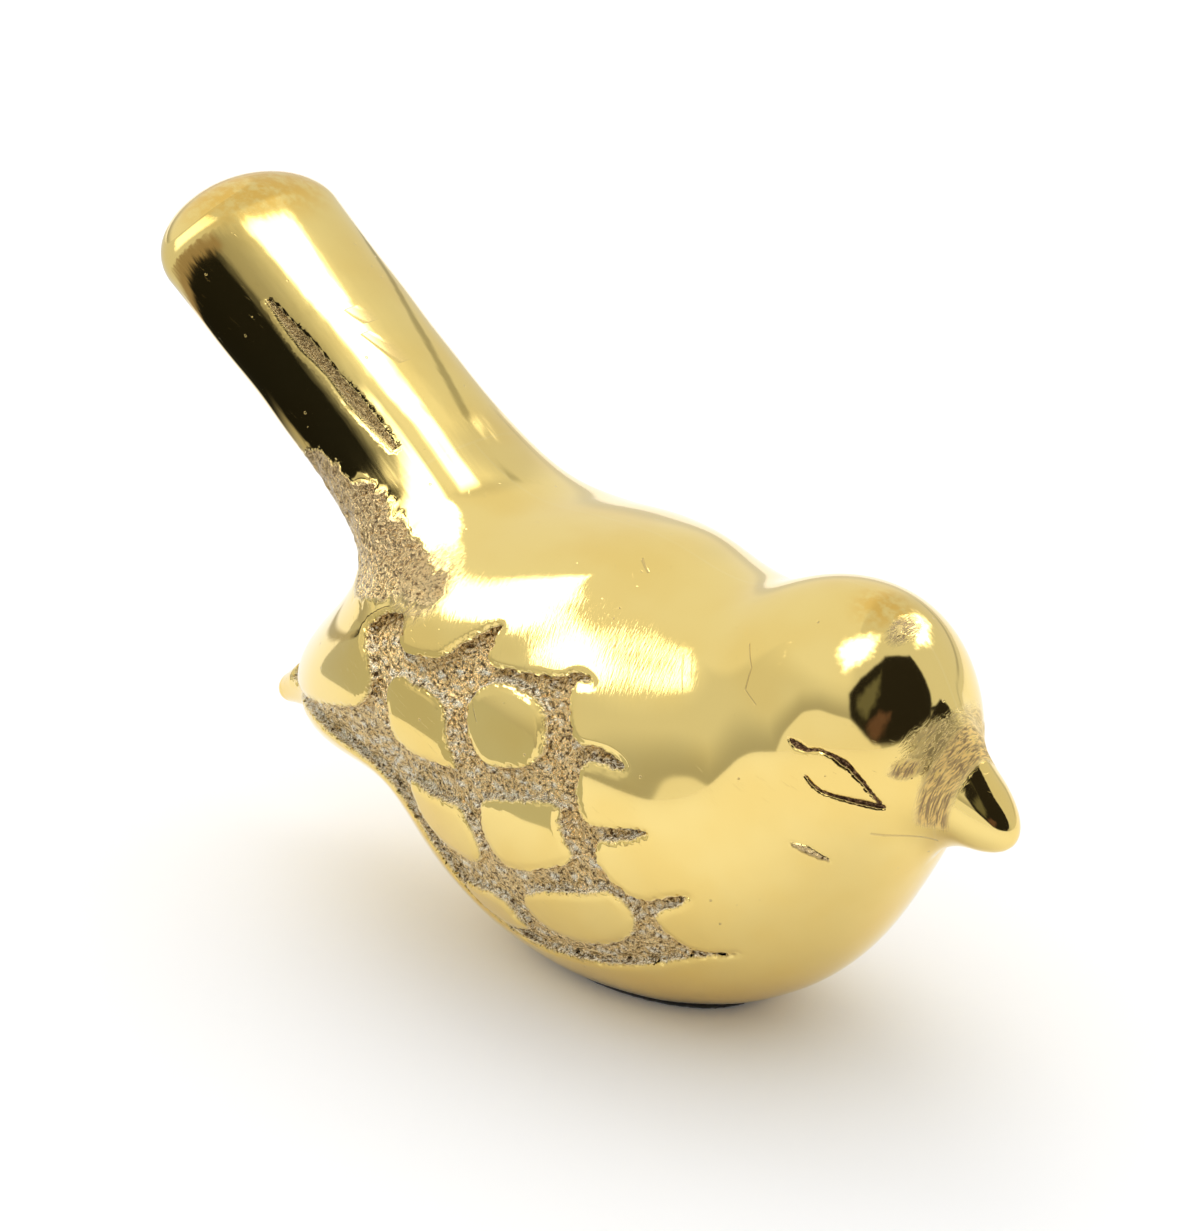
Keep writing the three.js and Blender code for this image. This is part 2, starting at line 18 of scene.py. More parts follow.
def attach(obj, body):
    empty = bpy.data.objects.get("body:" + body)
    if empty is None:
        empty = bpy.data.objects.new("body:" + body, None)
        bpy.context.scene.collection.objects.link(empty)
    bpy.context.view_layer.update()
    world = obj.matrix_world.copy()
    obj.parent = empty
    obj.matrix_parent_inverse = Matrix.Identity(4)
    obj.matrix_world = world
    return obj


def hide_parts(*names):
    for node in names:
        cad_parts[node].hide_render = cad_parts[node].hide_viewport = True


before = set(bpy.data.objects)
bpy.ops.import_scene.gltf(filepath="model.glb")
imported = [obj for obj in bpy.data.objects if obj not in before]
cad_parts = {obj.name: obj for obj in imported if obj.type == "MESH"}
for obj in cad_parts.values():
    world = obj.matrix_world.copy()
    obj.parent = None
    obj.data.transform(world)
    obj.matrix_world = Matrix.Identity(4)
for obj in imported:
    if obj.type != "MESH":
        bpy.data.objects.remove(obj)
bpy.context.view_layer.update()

log = logging.getLogger("bird")

MM = 0.001
Point = tuple[float, float]
Colour = tuple[float, float, float]


class Mark(Enum):
    """What the maker's hand and later use left on the skin, and the ground walls that get a painted
    highlight, each kept on the mesh as a number from 0 to 1.
    """

    GROUND = "ground"
    GROOVE = "groove"
    EYE = "eye"
    FILED = "filed"
    TARNISH = "tarnish"
    # the upward-facing ground walls, which get a painted near-white highlight
    RIM = "rim"


CUT_MARKS = (Mark.GROUND, Mark.GROOVE, Mark.EYE)


class Side(Enum):
    """The two flanks, by the sign of y."""

    RIGHT = -1
    LEFT = 1


def smooth_min(one: np.ndarray, other: np.ndarray, blend: float) -> np.ndarray:
    """The lesser of two fields, with a fillet about as wide as blend."""
    return 0.5 * (one + other - np.sqrt((one - other) ** 2 + blend * blend))


def tight_min(one: np.ndarray, other: np.ndarray, blend: np.ndarray) -> np.ndarray:
    """The lesser of two fields, with a fillet that ends where they differ by blend."""
    near = np.maximum(blend - np.abs(one - other), 0.0) / blend
    return np.minimum(one, other) - near * near * blend / 4.0


def smooth_step(start: float, end: float, value: np.ndarray) -> np.ndarray:
    """0 before start, 1 after end, and an easy slope between them."""
    t = np.clip((value - start) / (end - start), 0.0, 1.0)
    return t * t * (3.0 - 2.0 * t)


def oval(along: np.ndarray, across: np.ndarray, at: Point, half: Point, core: float,
         edge: float = 1.0) -> np.ndarray:
    """1 in an oval's core and 0 beyond its edge, both given as shares of its half sizes."""
    return 1.0 - smooth_step(core, edge, np.hypot((along - at[0]) / half[0], (across - at[1]) / half[1]))


def rounded(outline: Sequence[Point], rounds: int) -> np.ndarray:
    """Cuts the corners of a closed outline.

    Args:
        outline: The corners in order.
        rounds: How often every corner is cut.

    Returns:
        The corners of the softer outline.
    """
    points = np.array(outline, float)
    for _ in range(rounds):
        after = np.roll(points, -1, axis=0)
        points = np.stack([0.75 * points + 0.25 * after, 0.25 * points + 0.75 * after], 1).reshape(-1, 2)
    return points


def inside_outline(outline: np.ndarray, x: np.ndarray, z: np.ndarray) -> np.ndarray:
    """How far side-view places lie inside a closed outline.

    Args:
        outline: The outline's corners.
        x: The places' x in mm.
        z: The places' z in mm.

    Returns:
        Distances in mm, negative outside.
    """
    nearest = np.full(x.shape, np.inf)
    inside = np.zeros(x.shape, bool)
    for (bx, bz), (ax, az) in zip(outline, np.roll(outline, -1, axis=0)):
        ex, ez = ax - bx, az - bz
        t = np.clip(((x - bx) * ex + (z - bz) * ez) / (ex * ex + ez * ez + 1e-12), 0.0, 1.0)
        nearest = np.minimum(nearest, (x - bx - t * ex) ** 2 + (z - bz - t * ez) ** 2)
        if az != bz:
            crosses = ((az > z) != (bz > z)) & (x < (bx - ax) * (z - az) / (bz - az) + ax)
            inside ^= crosses
    return np.where(inside, np.sqrt(nearest), -np.sqrt(nearest))


def heading(azimuth: float, height: float) -> Vector:
    """The direction at an azimuth and height in degrees: azimuth 0 is the bird's right, 90 its beak."""
    a, e = math.radians(azimuth), math.radians(height)
    return Vector((math.sin(a) * math.cos(e), -math.cos(a) * math.cos(e), math.sin(e)))


def slanted(slope: float) -> Point:
    """The direction at a slope in degrees in the bird's middle plane, as x and z."""
    return math.cos(math.radians(slope)), math.sin(math.radians(slope))


def add_object(name: str, data: bpy.types.ID) -> bpy.types.Object:
    """Puts a mesh, lens or light into the scene."""
    made = bpy.data.objects.new(name, data)
    bpy.context.scene.collection.objects.link(made)
    return made


def hang(name: str, mesh: bpy.types.Mesh, material: bpy.types.Material) -> bpy.types.Object:
    """Hangs a reflector that is seen in reflections alone."""
    mesh.materials.append(material)
    reflector = add_object(name, mesh)
    for kind in ("visible_camera", "visible_diffuse", "visible_transmission", "visible_shadow"):
        setattr(reflector, kind, False)
    return reflector


@dataclass(frozen=True)
class Egg:
    """An ellipsoid whose front end is turned down by nod degrees."""

    at: Point
    half_length: float
    half_width: float
    half_height: float
    nod: float = 0.0

    def outside(self, place: np.ndarray) -> np.ndarray:
        """About how far places in mm lie outside it."""
        c, s = math.cos(math.radians(self.nod)), math.sin(math.radians(self.nod))
        dx, y, dz = place[..., 0] - self.at[0], place[..., 1], place[..., 2] - self.at[1]
        u, w = c * dx - s * dz, s * dx + c * dz
        sizes = (self.half_length, self.half_width, self.half_height)
        near = np.sqrt(sum((v / size) ** 2 for v, size in zip((u, y, w), sizes)))
        slope = np.sqrt(sum((v / size ** 2) ** 2 for v, size in zip((u, y, w), sizes))) + 1e-9
        return near * (near - 1.0) / slope


@dataclass(frozen=True)
class Taper:
    """A round-ended taper in the bird's middle plane, widened across the bird by flatness."""

    root: Point
    slope: float
    length: float
    root_radius: float
    tip_radius: float
    flatness: float = 1.0

    def outside(self, place: np.ndarray) -> np.ndarray:
        """About how far places in mm lie outside it."""
        wx, wz = slanted(self.slope)
        dx, dz = place[..., 0] - self.root[0], place[..., 2] - self.root[1]
        t = np.clip((dx * wx + dz * wz) / self.length, 0.0, 1.0)
        ax, az = t * self.length * wx, t * self.length * wz
        across = np.sqrt((dx - ax) ** 2 + (place[..., 1] / self.flatness) ** 2 + (dz - az) ** 2)
        return across - self.root_radius - (self.tip_radius - self.root_radius) * t


@dataclass(frozen=True)
class Stroke:
    """A graver's or saw's cut on a flank: its path seen from the side, and its width along the way."""

    path: tuple[Point, ...]
    widths: tuple[float, ...]
    depth: float
    mark: Mark = Mark.EYE
    sides: tuple[Side, ...] = (Side.RIGHT, Side.LEFT)

    def reach(self, x: np.ndarray, z: np.ndarray) -> np.ndarray:
        """1 where side-view places in mm lie in the middle of the cut, falling to 0 at its edge."""
        best = np.zeros(x.shape)
        for (ax, az), (bx, bz), wa, wb in zip(self.path, self.path[1:], self.widths, self.widths[1:]):
            ex, ez = bx - ax, bz - az
            t = np.clip(((x - ax) * ex + (z - az) * ez) / (ex * ex + ez * ez), 0.0, 1.0)
            away = np.hypot(x - ax - t * ex, z - az - t * ez)
            best = np.maximum(best, 1.0 - smooth_step(0.0, 1.0, away / (0.5 * (wa + (wb - wa) * t))))
        return best


@dataclass(frozen=True)
class Plumage:
    """The feathers of one wing: raised, softly pillowed feathers in rough ground sunk between them."""

    ground: tuple[Point, ...] = (
        (-7.0, 37.3), (-7.3, 35.7), (-7.4, 34.0), (-6.5, 33.6), (-2.6, 34.0), (0.6, 34.3),
        (1.4, 35.1), (2.7, 35.2), (4.1, 34.6), (3.1, 34.4), (1.9, 34.1), (2.3, 33.0), (3.1, 31.0),
        (4.4, 29.6), (6.8, 29.9), (8.8, 29.5), (9.9, 28.6), (8.8, 28.1), (6.8, 28.4), (5.4, 28.0),
        (5.3, 26.0), (5.9, 24.0), (6.6, 23.0), (7.4, 22.7), (9.9, 23.1), (11.6, 23.7), (13.2, 23.5),
        (12.3, 22.7), (10.1, 21.7), (8.2, 21.4), (7.8, 20.0), (9.6, 17.6), (12.3, 16.2),
        (15.0, 17.6), (17.3, 18.2), (16.3, 16.8), (13.6, 15.2), (13.6, 14.3), (15.0, 12.6),
        (16.6, 11.5), (18.8, 11.8), (20.3, 12.2), (19.3, 11.5), (16.8, 10.9), (13.6, 9.5),
        (9.5, 7.6), (5.0, 6.4), (0.0, 5.5), (-5.0, 5.4), (-10.5, 7.0), (-15.5, 12.0), (-21.0, 16.3),
        (-29.0, 19.5), (-37.5, 19.0), (-42.5, 16.2), (-46.5, 15.4), (-46.5, 17.6), (-42.0, 19.0),
        (-38.0, 19.9), (-29.0, 22.6), (-21.2, 25.6), (-20.3, 27.3), (-20.1, 29.8), (-23.0, 32.4),
        (-20.9, 34.5), (-18.6, 35.4), (-17.6, 34.9), (-17.1, 33.6), (-16.9, 32.8), (-15.2, 32.6),
        (-13.1, 32.9), (-12.0, 33.1), (-11.2, 34.1), (-9.5, 35.8),
    )
    feathers: tuple[tuple[Point, ...], ...] = (
        ((-7.7, 31), (-5.5, 32.5), (-1.4, 32.2), (0.4, 30.8), (1, 28.3), (0.4, 26.7), (-2.2, 25.5),
         (-5.2, 24.8), (-7, 26.1), (-8.2, 28.5)),
        ((-5.6, 20.6), (-4.6, 21.5), (-2.6, 22.0), (1.4, 23.2), (3.9, 23.6), (3.7, 22.2),
         (4.3, 20.6), (5.4, 19.1), (5, 18.3), (1.3, 16.2), (-2.4, 15.1), (-4.1, 15.9), (-5.4, 18.1)),
        ((-1.4, 12.1), (1, 13.7), (7.5, 15.5), (9.2, 16.5), (11, 15.5), (11.3, 13.2), (10.2, 11.5),
         (7.8, 10), (5, 9.1), (1.5, 9), (-0.5, 10)),
        ((-16.5, 30.2), (-14.9, 29.8), (-12.4, 29.5), (-10.8, 28.5), (-10.5, 26.8), (-10.3, 25.5),
         (-9.5, 24.0), (-8.6, 23.2), (-12.3, 22.8), (-15.4, 22.6), (-17.2, 24.3), (-17.6, 27),
         (-17.6, 29)),
        ((-16.6, 19.4), (-13.6, 18.5), (-8.6, 19.3), (-7.4, 17.8), (-6.6, 16.5), (-6.3, 13.9),
         (-9.5, 13.5), (-12.8, 13.7), (-15.7, 15.3)),
        ((-10.9, 9.6), (-8.7, 9.8), (-4.9, 10.6), (-4.1, 9.9), (-3.1, 8.6), (-2.3, 7.7),
         (-4.7, 6.6), (-8.1, 6.9), (-10.6, 7.9)),
    )
    as_cast: tuple[Point, ...] = (
        (-38.5, 43.6), (-36.0, 45.2), (-33.6, 44.7), (-31.4, 43.4), (-28.6, 43.6), (-26.4, 42.6),
        (-24.2, 40.8), (-21.0, 39.6), (-17.6, 39.1), (-14.9, 37.8), (-15.6, 36.7), (-19.2, 36.2),
        (-23.0, 35.0), (-28.7, 32.9), (-31.0, 38.0), (-35.0, 41.0),
    )
    sunk: float = 0.95
    wall: float = 0.45
    feather_drop: float = 0.12
    feather_reach: float = 0.7
    border_drop: float = 0.1
    border_reach: float = 0.6
    as_cast_depth: float = 0.12
    as_cast_fringe: float = 0.7
    grit: float = 0.22
    grit_size: float = 0.7
    grit_seed: int = 7
    grit_cells: int = 160
    ragged: float = 0.2

    def carve(self, x: np.ndarray, z: np.ndarray) -> tuple[np.ndarray, np.ndarray]:
        """Cuts the ground round the feathers.

        Args:
            x: The places' x in mm.
            z: The places' z in mm.

        Returns:
            How deep each place is cut in mm, and how much of it is bare ground from 0 to 1.
        """
        border = inside_outline(rounded(self.ground, 2), x, z)
        raised = np.max([inside_outline(rounded(one, 2), x, z) for one in self.feathers], axis=0)
        edge = np.minimum(border, -raised) + self.ragged * self.roughcast(x, z, 0.5 * self.grit_size)
        lip = (self.border_drop * np.abs(raised) + self.feather_drop * np.abs(border)) / (
            np.abs(raised) + np.abs(border) + 1e-9)
        lumps = self.roughcast(x, z, self.grit_size)
        floor = lip + (self.sunk - lip + self.grit * lumps) * smooth_step(0.0, self.wall, edge)
        feather_lip = self.feather_drop * (1.0 - smooth_step(0.0, self.feather_reach, raised))
        border_lip = self.border_drop * (1.0 - smooth_step(0.0, self.border_reach, -border))
        depth = np.where(edge > 0.0, floor, np.where(raised > 0.0, feather_lip, border_lip))
        patch = inside_outline(rounded(self.as_cast, 2), x, z)
        sandy = smooth_step(-self.as_cast_fringe, self.as_cast_fringe, patch + 0.5 * lumps)
        depth = np.maximum(depth, self.as_cast_depth * sandy * (1.0 + lumps))
        return depth, np.maximum(smooth_step(-0.1, 0.35, edge), sandy)

    def roughcast(self, x: np.ndarray, z: np.ndarray, size: float) -> np.ndarray:
        """The lumps about size mm across that the sand mould left, from -1 to 1 at each place."""
        wide = self.grit_cells
        lumps = np.random.default_rng(self.grit_seed).uniform(-1.0, 1.0, (wide, wide))
        u, w = (x + 60.0) / size, z / size
        i, k = np.floor(u).astype(int), np.floor(w).astype(int)
        a, b = smooth_step(0.0, 1.0, u - i), smooth_step(0.0, 1.0, w - k)
        i, k, ahead, above = i % wide, k % wide, (i + 1) % wide, (k + 1) % wide
        return (lumps[i, k] * (1 - a) * (1 - b) + lumps[ahead, k] * a * (1 - b)
                + lumps[i, above] * (1 - a) * b + lumps[ahead, above] * a * b)


@dataclass
class Relief:
    """Every cut on one flank, kept on a fine side-view chart that the skin looks its depth up in."""

    side: Side
    plumage: Plumage
    strokes: tuple[Stroke, ...]
    low: Point = (-62.0, 0.0)
    high: Point = (43.0, 66.0)
    cell: float = 0.12
    wing_margin: float = 2.0
    stroke_margin: float = 1.5

    def __post_init__(self) -> None:
        """Draws the chart."""
        x, z = np.meshgrid(np.arange(self.low[0], self.high[0], self.cell),
                           np.arange(self.low[1], self.high[1], self.cell), indexing="ij")
        self.depth = np.zeros(x.shape)
        self.charts = {mark: np.zeros(x.shape) for mark in CUT_MARKS}
        wing = self.window(self.plumage.ground + self.plumage.as_cast, self.wing_margin)
        self.depth[wing], self.charts[Mark.GROUND][wing] = self.plumage.carve(x[wing], z[wing])
        for stroke in self.strokes:
            if self.side in stroke.sides:
                part = self.window(stroke.path, self.stroke_margin)
                reach = stroke.reach(x[part], z[part])
                self.depth[part] += stroke.depth * reach
                self.charts[stroke.mark][part] = np.maximum(self.charts[stroke.mark][part], reach)

    def window(self, points: Sequence[Point], margin: float) -> tuple[slice, slice]:
        """The part of the chart that holds the points with a margin in mm."""
        low, high = np.min(points, axis=0) - margin, np.max(points, axis=0) + margin
        cells = [(max(0, int((l - o) / self.cell)), int((h - o) / self.cell))
                 for l, h, o in zip(low, high, self.low)]
        return slice(*cells[0]), slice(*cells[1])

    def look_up(self, place: np.ndarray, mark: Mark | None) -> np.ndarray:
        """Reads a chart between its cells.

        Args:
            place: Places in mm.
            mark: Which mark's chart, or None for the depth.

        Returns:
            The chart's value at each place.
        """
        chart = self.depth if mark is None else self.charts[mark]
        u = np.clip((place[..., 0] - self.low[0]) / self.cell, 0, chart.shape[0] - 1.001)
        w = np.clip((place[..., 2] - self.low[1]) / self.cell, 0, chart.shape[1] - 1.001)
        i, k = u.astype(np.int32), w.astype(np.int32)
        a, b = u - i, w - k
        return (chart[i, k] * (1 - a) * (1 - b) + chart[i + 1, k] * a * (1 - b)
                + chart[i, k + 1] * (1 - a) * b + chart[i + 1, k + 1] * a * b)


@dataclass
class BirdSkin:
    """The whole bird as one function of space, from which every casting is cut."""

    flat_height: float = 1.15
    body: Egg = Egg((0.0, 19.5), 26.5, 17.4, 20.0)
    mantle: Egg = Egg((-20.0, 27.0), 21.0, 15.5, 7.0, -27.0)
    mantle_blend: float = 6.0
    head: Egg = Egg((21.5, 31.0), 11.8, 10.8, 14.0, 19.0)
    head_blend: float = 6.0
    wing_tip: Taper = Taper((-22.0, 26.5), 207.0, 29.2, 7.0, 0.9, 1.4)
    wing_tip_blend: float = 4.0
    tail: Taper = Taper((-19.5, 34.2), 145.0, 43.3, 5.4, 6.3, 1.7)
    tail_blend: float = 6.0
    beak: Egg = Egg((32.04, 30.7), 10.18, 4.31, 4.31, 23.9)
    beak_blend: float = 5.18
    beak_side_blend: float = 2.8
    beak_side: float = 3.5
    beak_root: Point = (34.8, 29.1)
    beak_slope: float = -18.0
    bore_radius: float = 5.0
    bore_top: float = 6.8
    middle: float = 0.6
    wave: float = 0.035
    wave_length: float = 9.0
    plumage: Plumage = Plumage()
    strokes: tuple[Stroke, ...] = (
        Stroke(((24.5, 34.9), (25.3, 34.55), (26.1, 34.3), (27.2, 34.5), (28.4, 34.1), (29.2, 33.6),
                (29.7, 33.2), (30.7, 31.9), (31.8, 29.8)),
               (0.5, 1.1, 0.6, 0.42, 0.55, 0.95, 0.55, 0.42, 0.35), 0.3),
        Stroke(((26.4, 32.0), (27.1, 31.2), (27.8, 30.7), (28.8, 30.4), (30.0, 30.1), (31.0, 29.8),
                (31.9, 29.4)),
               (0.3, 0.4, 0.45, 0.5, 0.7, 0.85, 0.75), 0.3),
        Stroke(((-45.1, 57.2), (-42.4, 55.4), (-39.9, 53.7), (-36.8, 51.7), (-34.1, 49.9),
                (-31.3, 48.1), (-28.5, 46.3)),
               (0.4, 0.9, 1.2, 0.8, 1.2, 0.9, 0.5), 0.34, Mark.GROOVE, (Side.RIGHT,)),
        Stroke(((25.5, 25.1), (26.6, 24.6), (28.1, 23.6)), (0.5, 1.3, 0.5), 0.07, Mark.GROUND,
               (Side.RIGHT,)),
    )
    collar: Point = (35.6, 31.5)
    collar_lean: float = 0.12

    def __post_init__(self) -> None:
        """Draws both flanks' charts."""
        self.reliefs = {side: Relief(side, self.plumage, self.strokes) for side in Side}

    def plain(self, place: np.ndarray) -> np.ndarray:
        """How far places in mm lie outside the uncarved bird, before its bore."""
        skin = smooth_min(self.body.outside(place), self.mantle.outside(place), self.mantle_blend)
        skin = smooth_min(skin, self.head.outside(place), self.head_blend)
        skin = smooth_min(skin, self.wing_tip.outside(place), self.wing_tip_blend)
        skin = smooth_min(skin, self.tail.outside(place), self.tail_blend)
        sideways = smooth_step(0.0, self.beak_side, np.abs(place[..., 1]))
        blend = self.beak_blend + (self.beak_side_blend - self.beak_blend) * sideways
        return tight_min(skin, self.beak.outside(place), blend)

    def waviness(self, place: np.ndarray) -> np.ndarray:
        """The shallow unevenness of a surface filed and polished by hand, in mm, never outward."""
        turn = 2.0 * math.pi / self.wave_length
        x, y, z = (place[..., axis] for axis in range(3))
        ripple = np.sin(turn * (x + 0.4 * z) + 1.3 * np.sin(0.21 * z + 0.17 * y))
        ripple = ripple + np.sin(turn * (0.8 * z - 0.35 * x) + 1.1 * np.sin(0.23 * x) + 0.7)
        return self.wave * (1.0 + 0.5 * ripple)

    def by_side(self, place: np.ndarray, mark: Mark | None = None) -> np.ndarray:
        """Reads the depth or a mark on the flank that each place is on, and 0 on the middle line."""
        off_middle = smooth_step(self.middle, 2.5 * self.middle, np.abs(place[..., 1]))
        right, left = (self.reliefs[side].look_up(place, mark) for side in (Side.RIGHT, Side.LEFT))
        return off_middle * np.where(place[..., 1] < 0.0, right, left)

    def value(self, place: np.ndarray) -> np.ndarray:
        """How far places in mm lie outside the carved and bored bird."""
        skin = self.plain(place) + self.by_side(place) + self.waviness(place)
        across = np.hypot(place[..., 0], place[..., 1]) - self.bore_radius
        return np.maximum(skin, -np.maximum(across, place[..., 2] - self.bore_top))

    def mark(self, mark: Mark, place: np.ndarray) -> np.ndarray:
        """How strongly one mark shows at places in mm, from 0 to 1."""
        if mark in CUT_MARKS:
            return self.by_side(place, mark)
        return {Mark.FILED: self.filed, Mark.TARNISH: self.tarnished, Mark.RIM: self.rim}[mark](place)

    def filed(self, place: np.ndarray) -> np.ndarray:
        """Where file strokes still show: round the beak's root, over it, on cheek and crown, by the tail."""
        x, y, z = (place[..., axis] for axis in range(3))
        ahead = np.abs((x - self.collar[0]) - (z - self.collar[1]) * self.collar_lean)
        return np.max([
            (1.0 - smooth_step(0.9, 1.7, ahead)) * smooth_step(26.8, 28.0, z),
            0.55 * oval(x, z, (34.7, 35.2), (2.2, 2.6), 0.5, 1.1),
            oval(x, z, (33.1, 33.0), (1.0, 1.0), 0.5, 1.2),
            oval(x, y, (28.6, -1.4), (1.2, 2.6), 0.5) * smooth_step(41.0, 42.5, z),
            oval(x, z, (-17.8, 37.6), (4.2, 3.4), 0.5),
        ], axis=0)

    def tarnished(self, place: np.ndarray) -> np.ndarray:
        """Where fingers left the brass orange: a spot on the crown, and the tail's tip."""
        x, y, z = (place[..., axis] for axis in range(3))
        crown = oval(x, y, (26.0, -1.0), (3.6, 4.4), 0.2) * smooth_step(42.0, 44.0, z)
        return np.maximum(crown, smooth_step(61.8, 65.0, z))

    def rim(self, place: np.ndarray) -> np.ndarray:
        """The walls of the ground that face upward, which get a painted near-white highlight."""
        walls = self.by_side(place, Mark.GROUND) * smooth_step(0.24, 0.4, self.by_side(place))
        rise = self.slope(place)[0][..., 2] - self.slope(place, of=self.plain)[0][..., 2]
        return walls * smooth_step(0.1, 0.38, rise)

    def slope(self, place: np.ndarray, step: float = 0.05,
              of: Callable[[np.ndarray], np.ndarray] | None = None) -> tuple[np.ndarray, np.ndarray]:
        """Which way the field grows fastest at places in mm.

        Args:
            place: Places in mm.
            step: How far apart it is measured, in mm.
            of: The field, or None for the whole carved bird.

        Returns:
            The unit directions, and the slopes there.
        """
        field_of = of or self.value
        rise = np.stack([field_of(place + step * way) - field_of(place - step * way)
                         for way in np.eye(3)], -1)
        size = np.linalg.norm(rise, axis=-1) + 1e-12
        return rise / size[..., None], size / (2.0 * step)


@dataclass
class SkinNet:
    """Nets a field's surface: one point in each grid box that it crosses, a face round each edge."""

    skin: BirdSkin
    low: tuple[float, float, float] = (-63.0, -21.0, -3.0)
    high: tuple[float, float, float] = (43.5, 21.0, 67.5)
    side_step: float = 0.36
    across_step: float = 0.6
    fine_step: float = 0.2
    fine_x: Point = (23.5, 33.0)
    fine_z: Point = (28.5, 36.0)

    def planes(self, axis: int) -> np.ndarray:
        """The grid's planes along one axis, closer together over the eye."""
        step = self.across_step if axis == 1 else self.side_step
        if axis == 1:
            return np.arange(self.low[1], self.high[1] + step, step)
        start, end = self.fine_x if axis == 0 else self.fine_z
        return np.concatenate([np.arange(self.low[axis], start, step),
                               np.arange(start, end, self.fine_step),
                               np.arange(end, self.high[axis] + step, step)])

    def cast(self) -> tuple[np.ndarray, np.ndarray]:
        """Makes the whole skin.

        Returns:
            Points in mm, and four-sided faces as rows of point numbers.
        """
        axes = [self.planes(axis) for axis in range(3)]
        value = np.stack([self.skin.value(np.stack(np.meshgrid([x], *axes[1:], indexing="ij"), -1))[0]
                          for x in axes[0]])
        inside = value < 0.0
        shape = tuple(n - 1 for n in value.shape)
        corners = [(i, j, k) for i in (0, 1) for j in (0, 1) for k in (0, 1)]
        count = np.zeros(shape, np.int8)
        for i, j, k in corners:
            count += inside[i:i + shape[0], j:j + shape[1], k:k + shape[2]]
        crossed = (count > 0) & (count < 8)
        boxes = np.argwhere(crossed)
        number = np.full(shape, -1)
        number[crossed] = np.arange(len(boxes))
        held = np.stack([value[tuple((boxes + c).T)] for c in corners], 1)
        at = np.stack([np.stack([axes[a][boxes[:, a] + c[a]] for a in range(3)], -1) for c in corners], 1)
        total, edges = np.zeros((len(boxes), 3)), np.zeros(len(boxes))
        for one, a in enumerate(corners):
            for other, b in enumerate(corners):
                if other > one and sum(abs(p - q) for p, q in zip(a, b)) == 1:
                    split = (held[:, one] < 0.0) != (held[:, other] < 0.0)
                    fall = np.where(split, held[:, one] - held[:, other], 1.0)
                    share = (held[:, one] / fall)[:, None]
                    total += split[:, None] * (at[:, one] + share * (at[:, other] - at[:, one]))
                    edges += split
        return self.settle(total / edges[:, None]), self.faces(inside, number)

    def settle(self, points: np.ndarray) -> np.ndarray:
        """Moves points in mm along the field's slope onto its surface."""
        farthest = self.fine_step / 2.0
        for _ in range(4):
            way, slope = self.skin.slope(points)
            move = np.clip(self.skin.value(points) / np.maximum(slope, 0.5), -farthest, farthest)
            points = points - way * move[:, None]
        return points

    def faces(self, inside: np.ndarray, number: np.ndarray) -> np.ndarray:
        """Lays a face round each grid edge that crosses the surface.

        Args:
            inside: Which grid corners lie in the metal.
            number: The point's number in each grid box, or -1.

        Returns:
            Four point numbers a row, turned outward.
        """
        rows = []
        for axis in range(3):
            ahead = tuple(slice(1, None) if a == axis else slice(None) for a in range(3))
            behind = tuple(slice(None, -1) if a == axis else slice(None) for a in range(3))
            split = np.argwhere(inside[behind] != inside[ahead])
            split = split[(split[:, [(axis + 1) % 3, (axis + 2) % 3]] > 0).all(1)]
            ring = []
            for right, up in ((0, 0), (1, 0), (1, 1), (0, 1)):
                back = np.zeros(3, int)
                back[(axis + 1) % 3], back[(axis + 2) % 3] = right, up
                ring.append(number[tuple((split - back).T)])
            ring = np.stack(ring, 1)
            outward = inside[tuple(split.T)]
            rows.append(np.where(outward[:, None], ring, ring[:, ::-1]))
        return np.concatenate(rows)


@dataclass(frozen=True)
class Cut:
    """A plane that divides the castings: a point on it and its normal, in mm, and what it may reach."""

    at: tuple[float, float, float]
    normal: tuple[float, float, float]
    lowest: float = -math.inf

    def apply(self, metal: bmesh.types.BMesh) -> None:
        """Cuts away what lies on the normal's side and closes the cut.

        Args:
            metal: The closed mesh in mm.
        """
        at, normal = Vector(self.at), Vector(self.normal).normalized()
        up = Vector((-normal.z, 0.0, normal.x)) if self.lowest > -math.inf else Vector((0, 0, 1))
        if up.z < 0.0:
            up.negate()
        faces = [f for f in metal.faces if (f.calc_center_median() - at).dot(up) > self.lowest]
        edges = {edge for f in faces for edge in f.edges}
        verts = {vert for f in faces for vert in f.verts}
        done = bmesh.ops.bisect_plane(metal, geom=list(verts) + list(edges) + faces, dist=1e-5,
                                      plane_co=at, plane_no=normal, clear_outer=True)
        rim = [e for e in done["geom_cut"] if isinstance(e, bmesh.types.BMEdge) and e.is_boundary]
        filled = bmesh.ops.triangle_fill(metal, edges=rim, use_beauty=True, use_dissolve=False)
        for face in filled["geom"]:
            if isinstance(face, bmesh.types.BMFace):
                face.normal_update()
                face.smooth = False
                if face.normal.dot(normal) < 0.0:
                    face.normal_flip()

    def moved(self, by: float) -> "Cut":
        """The same cut, moved along its normal by so many mm."""
        return Cut(tuple(p + by * n for p, n in zip(self.at, self.normal)), self.normal, self.lowest)

    def other_way(self, by: float = 0.0) -> "Cut":
        """The cut that keeps the other side, after it is moved along its normal by so many mm."""
        there = self.moved(by)
        return Cut(there.at, tuple(-n for n in self.normal), self.lowest)


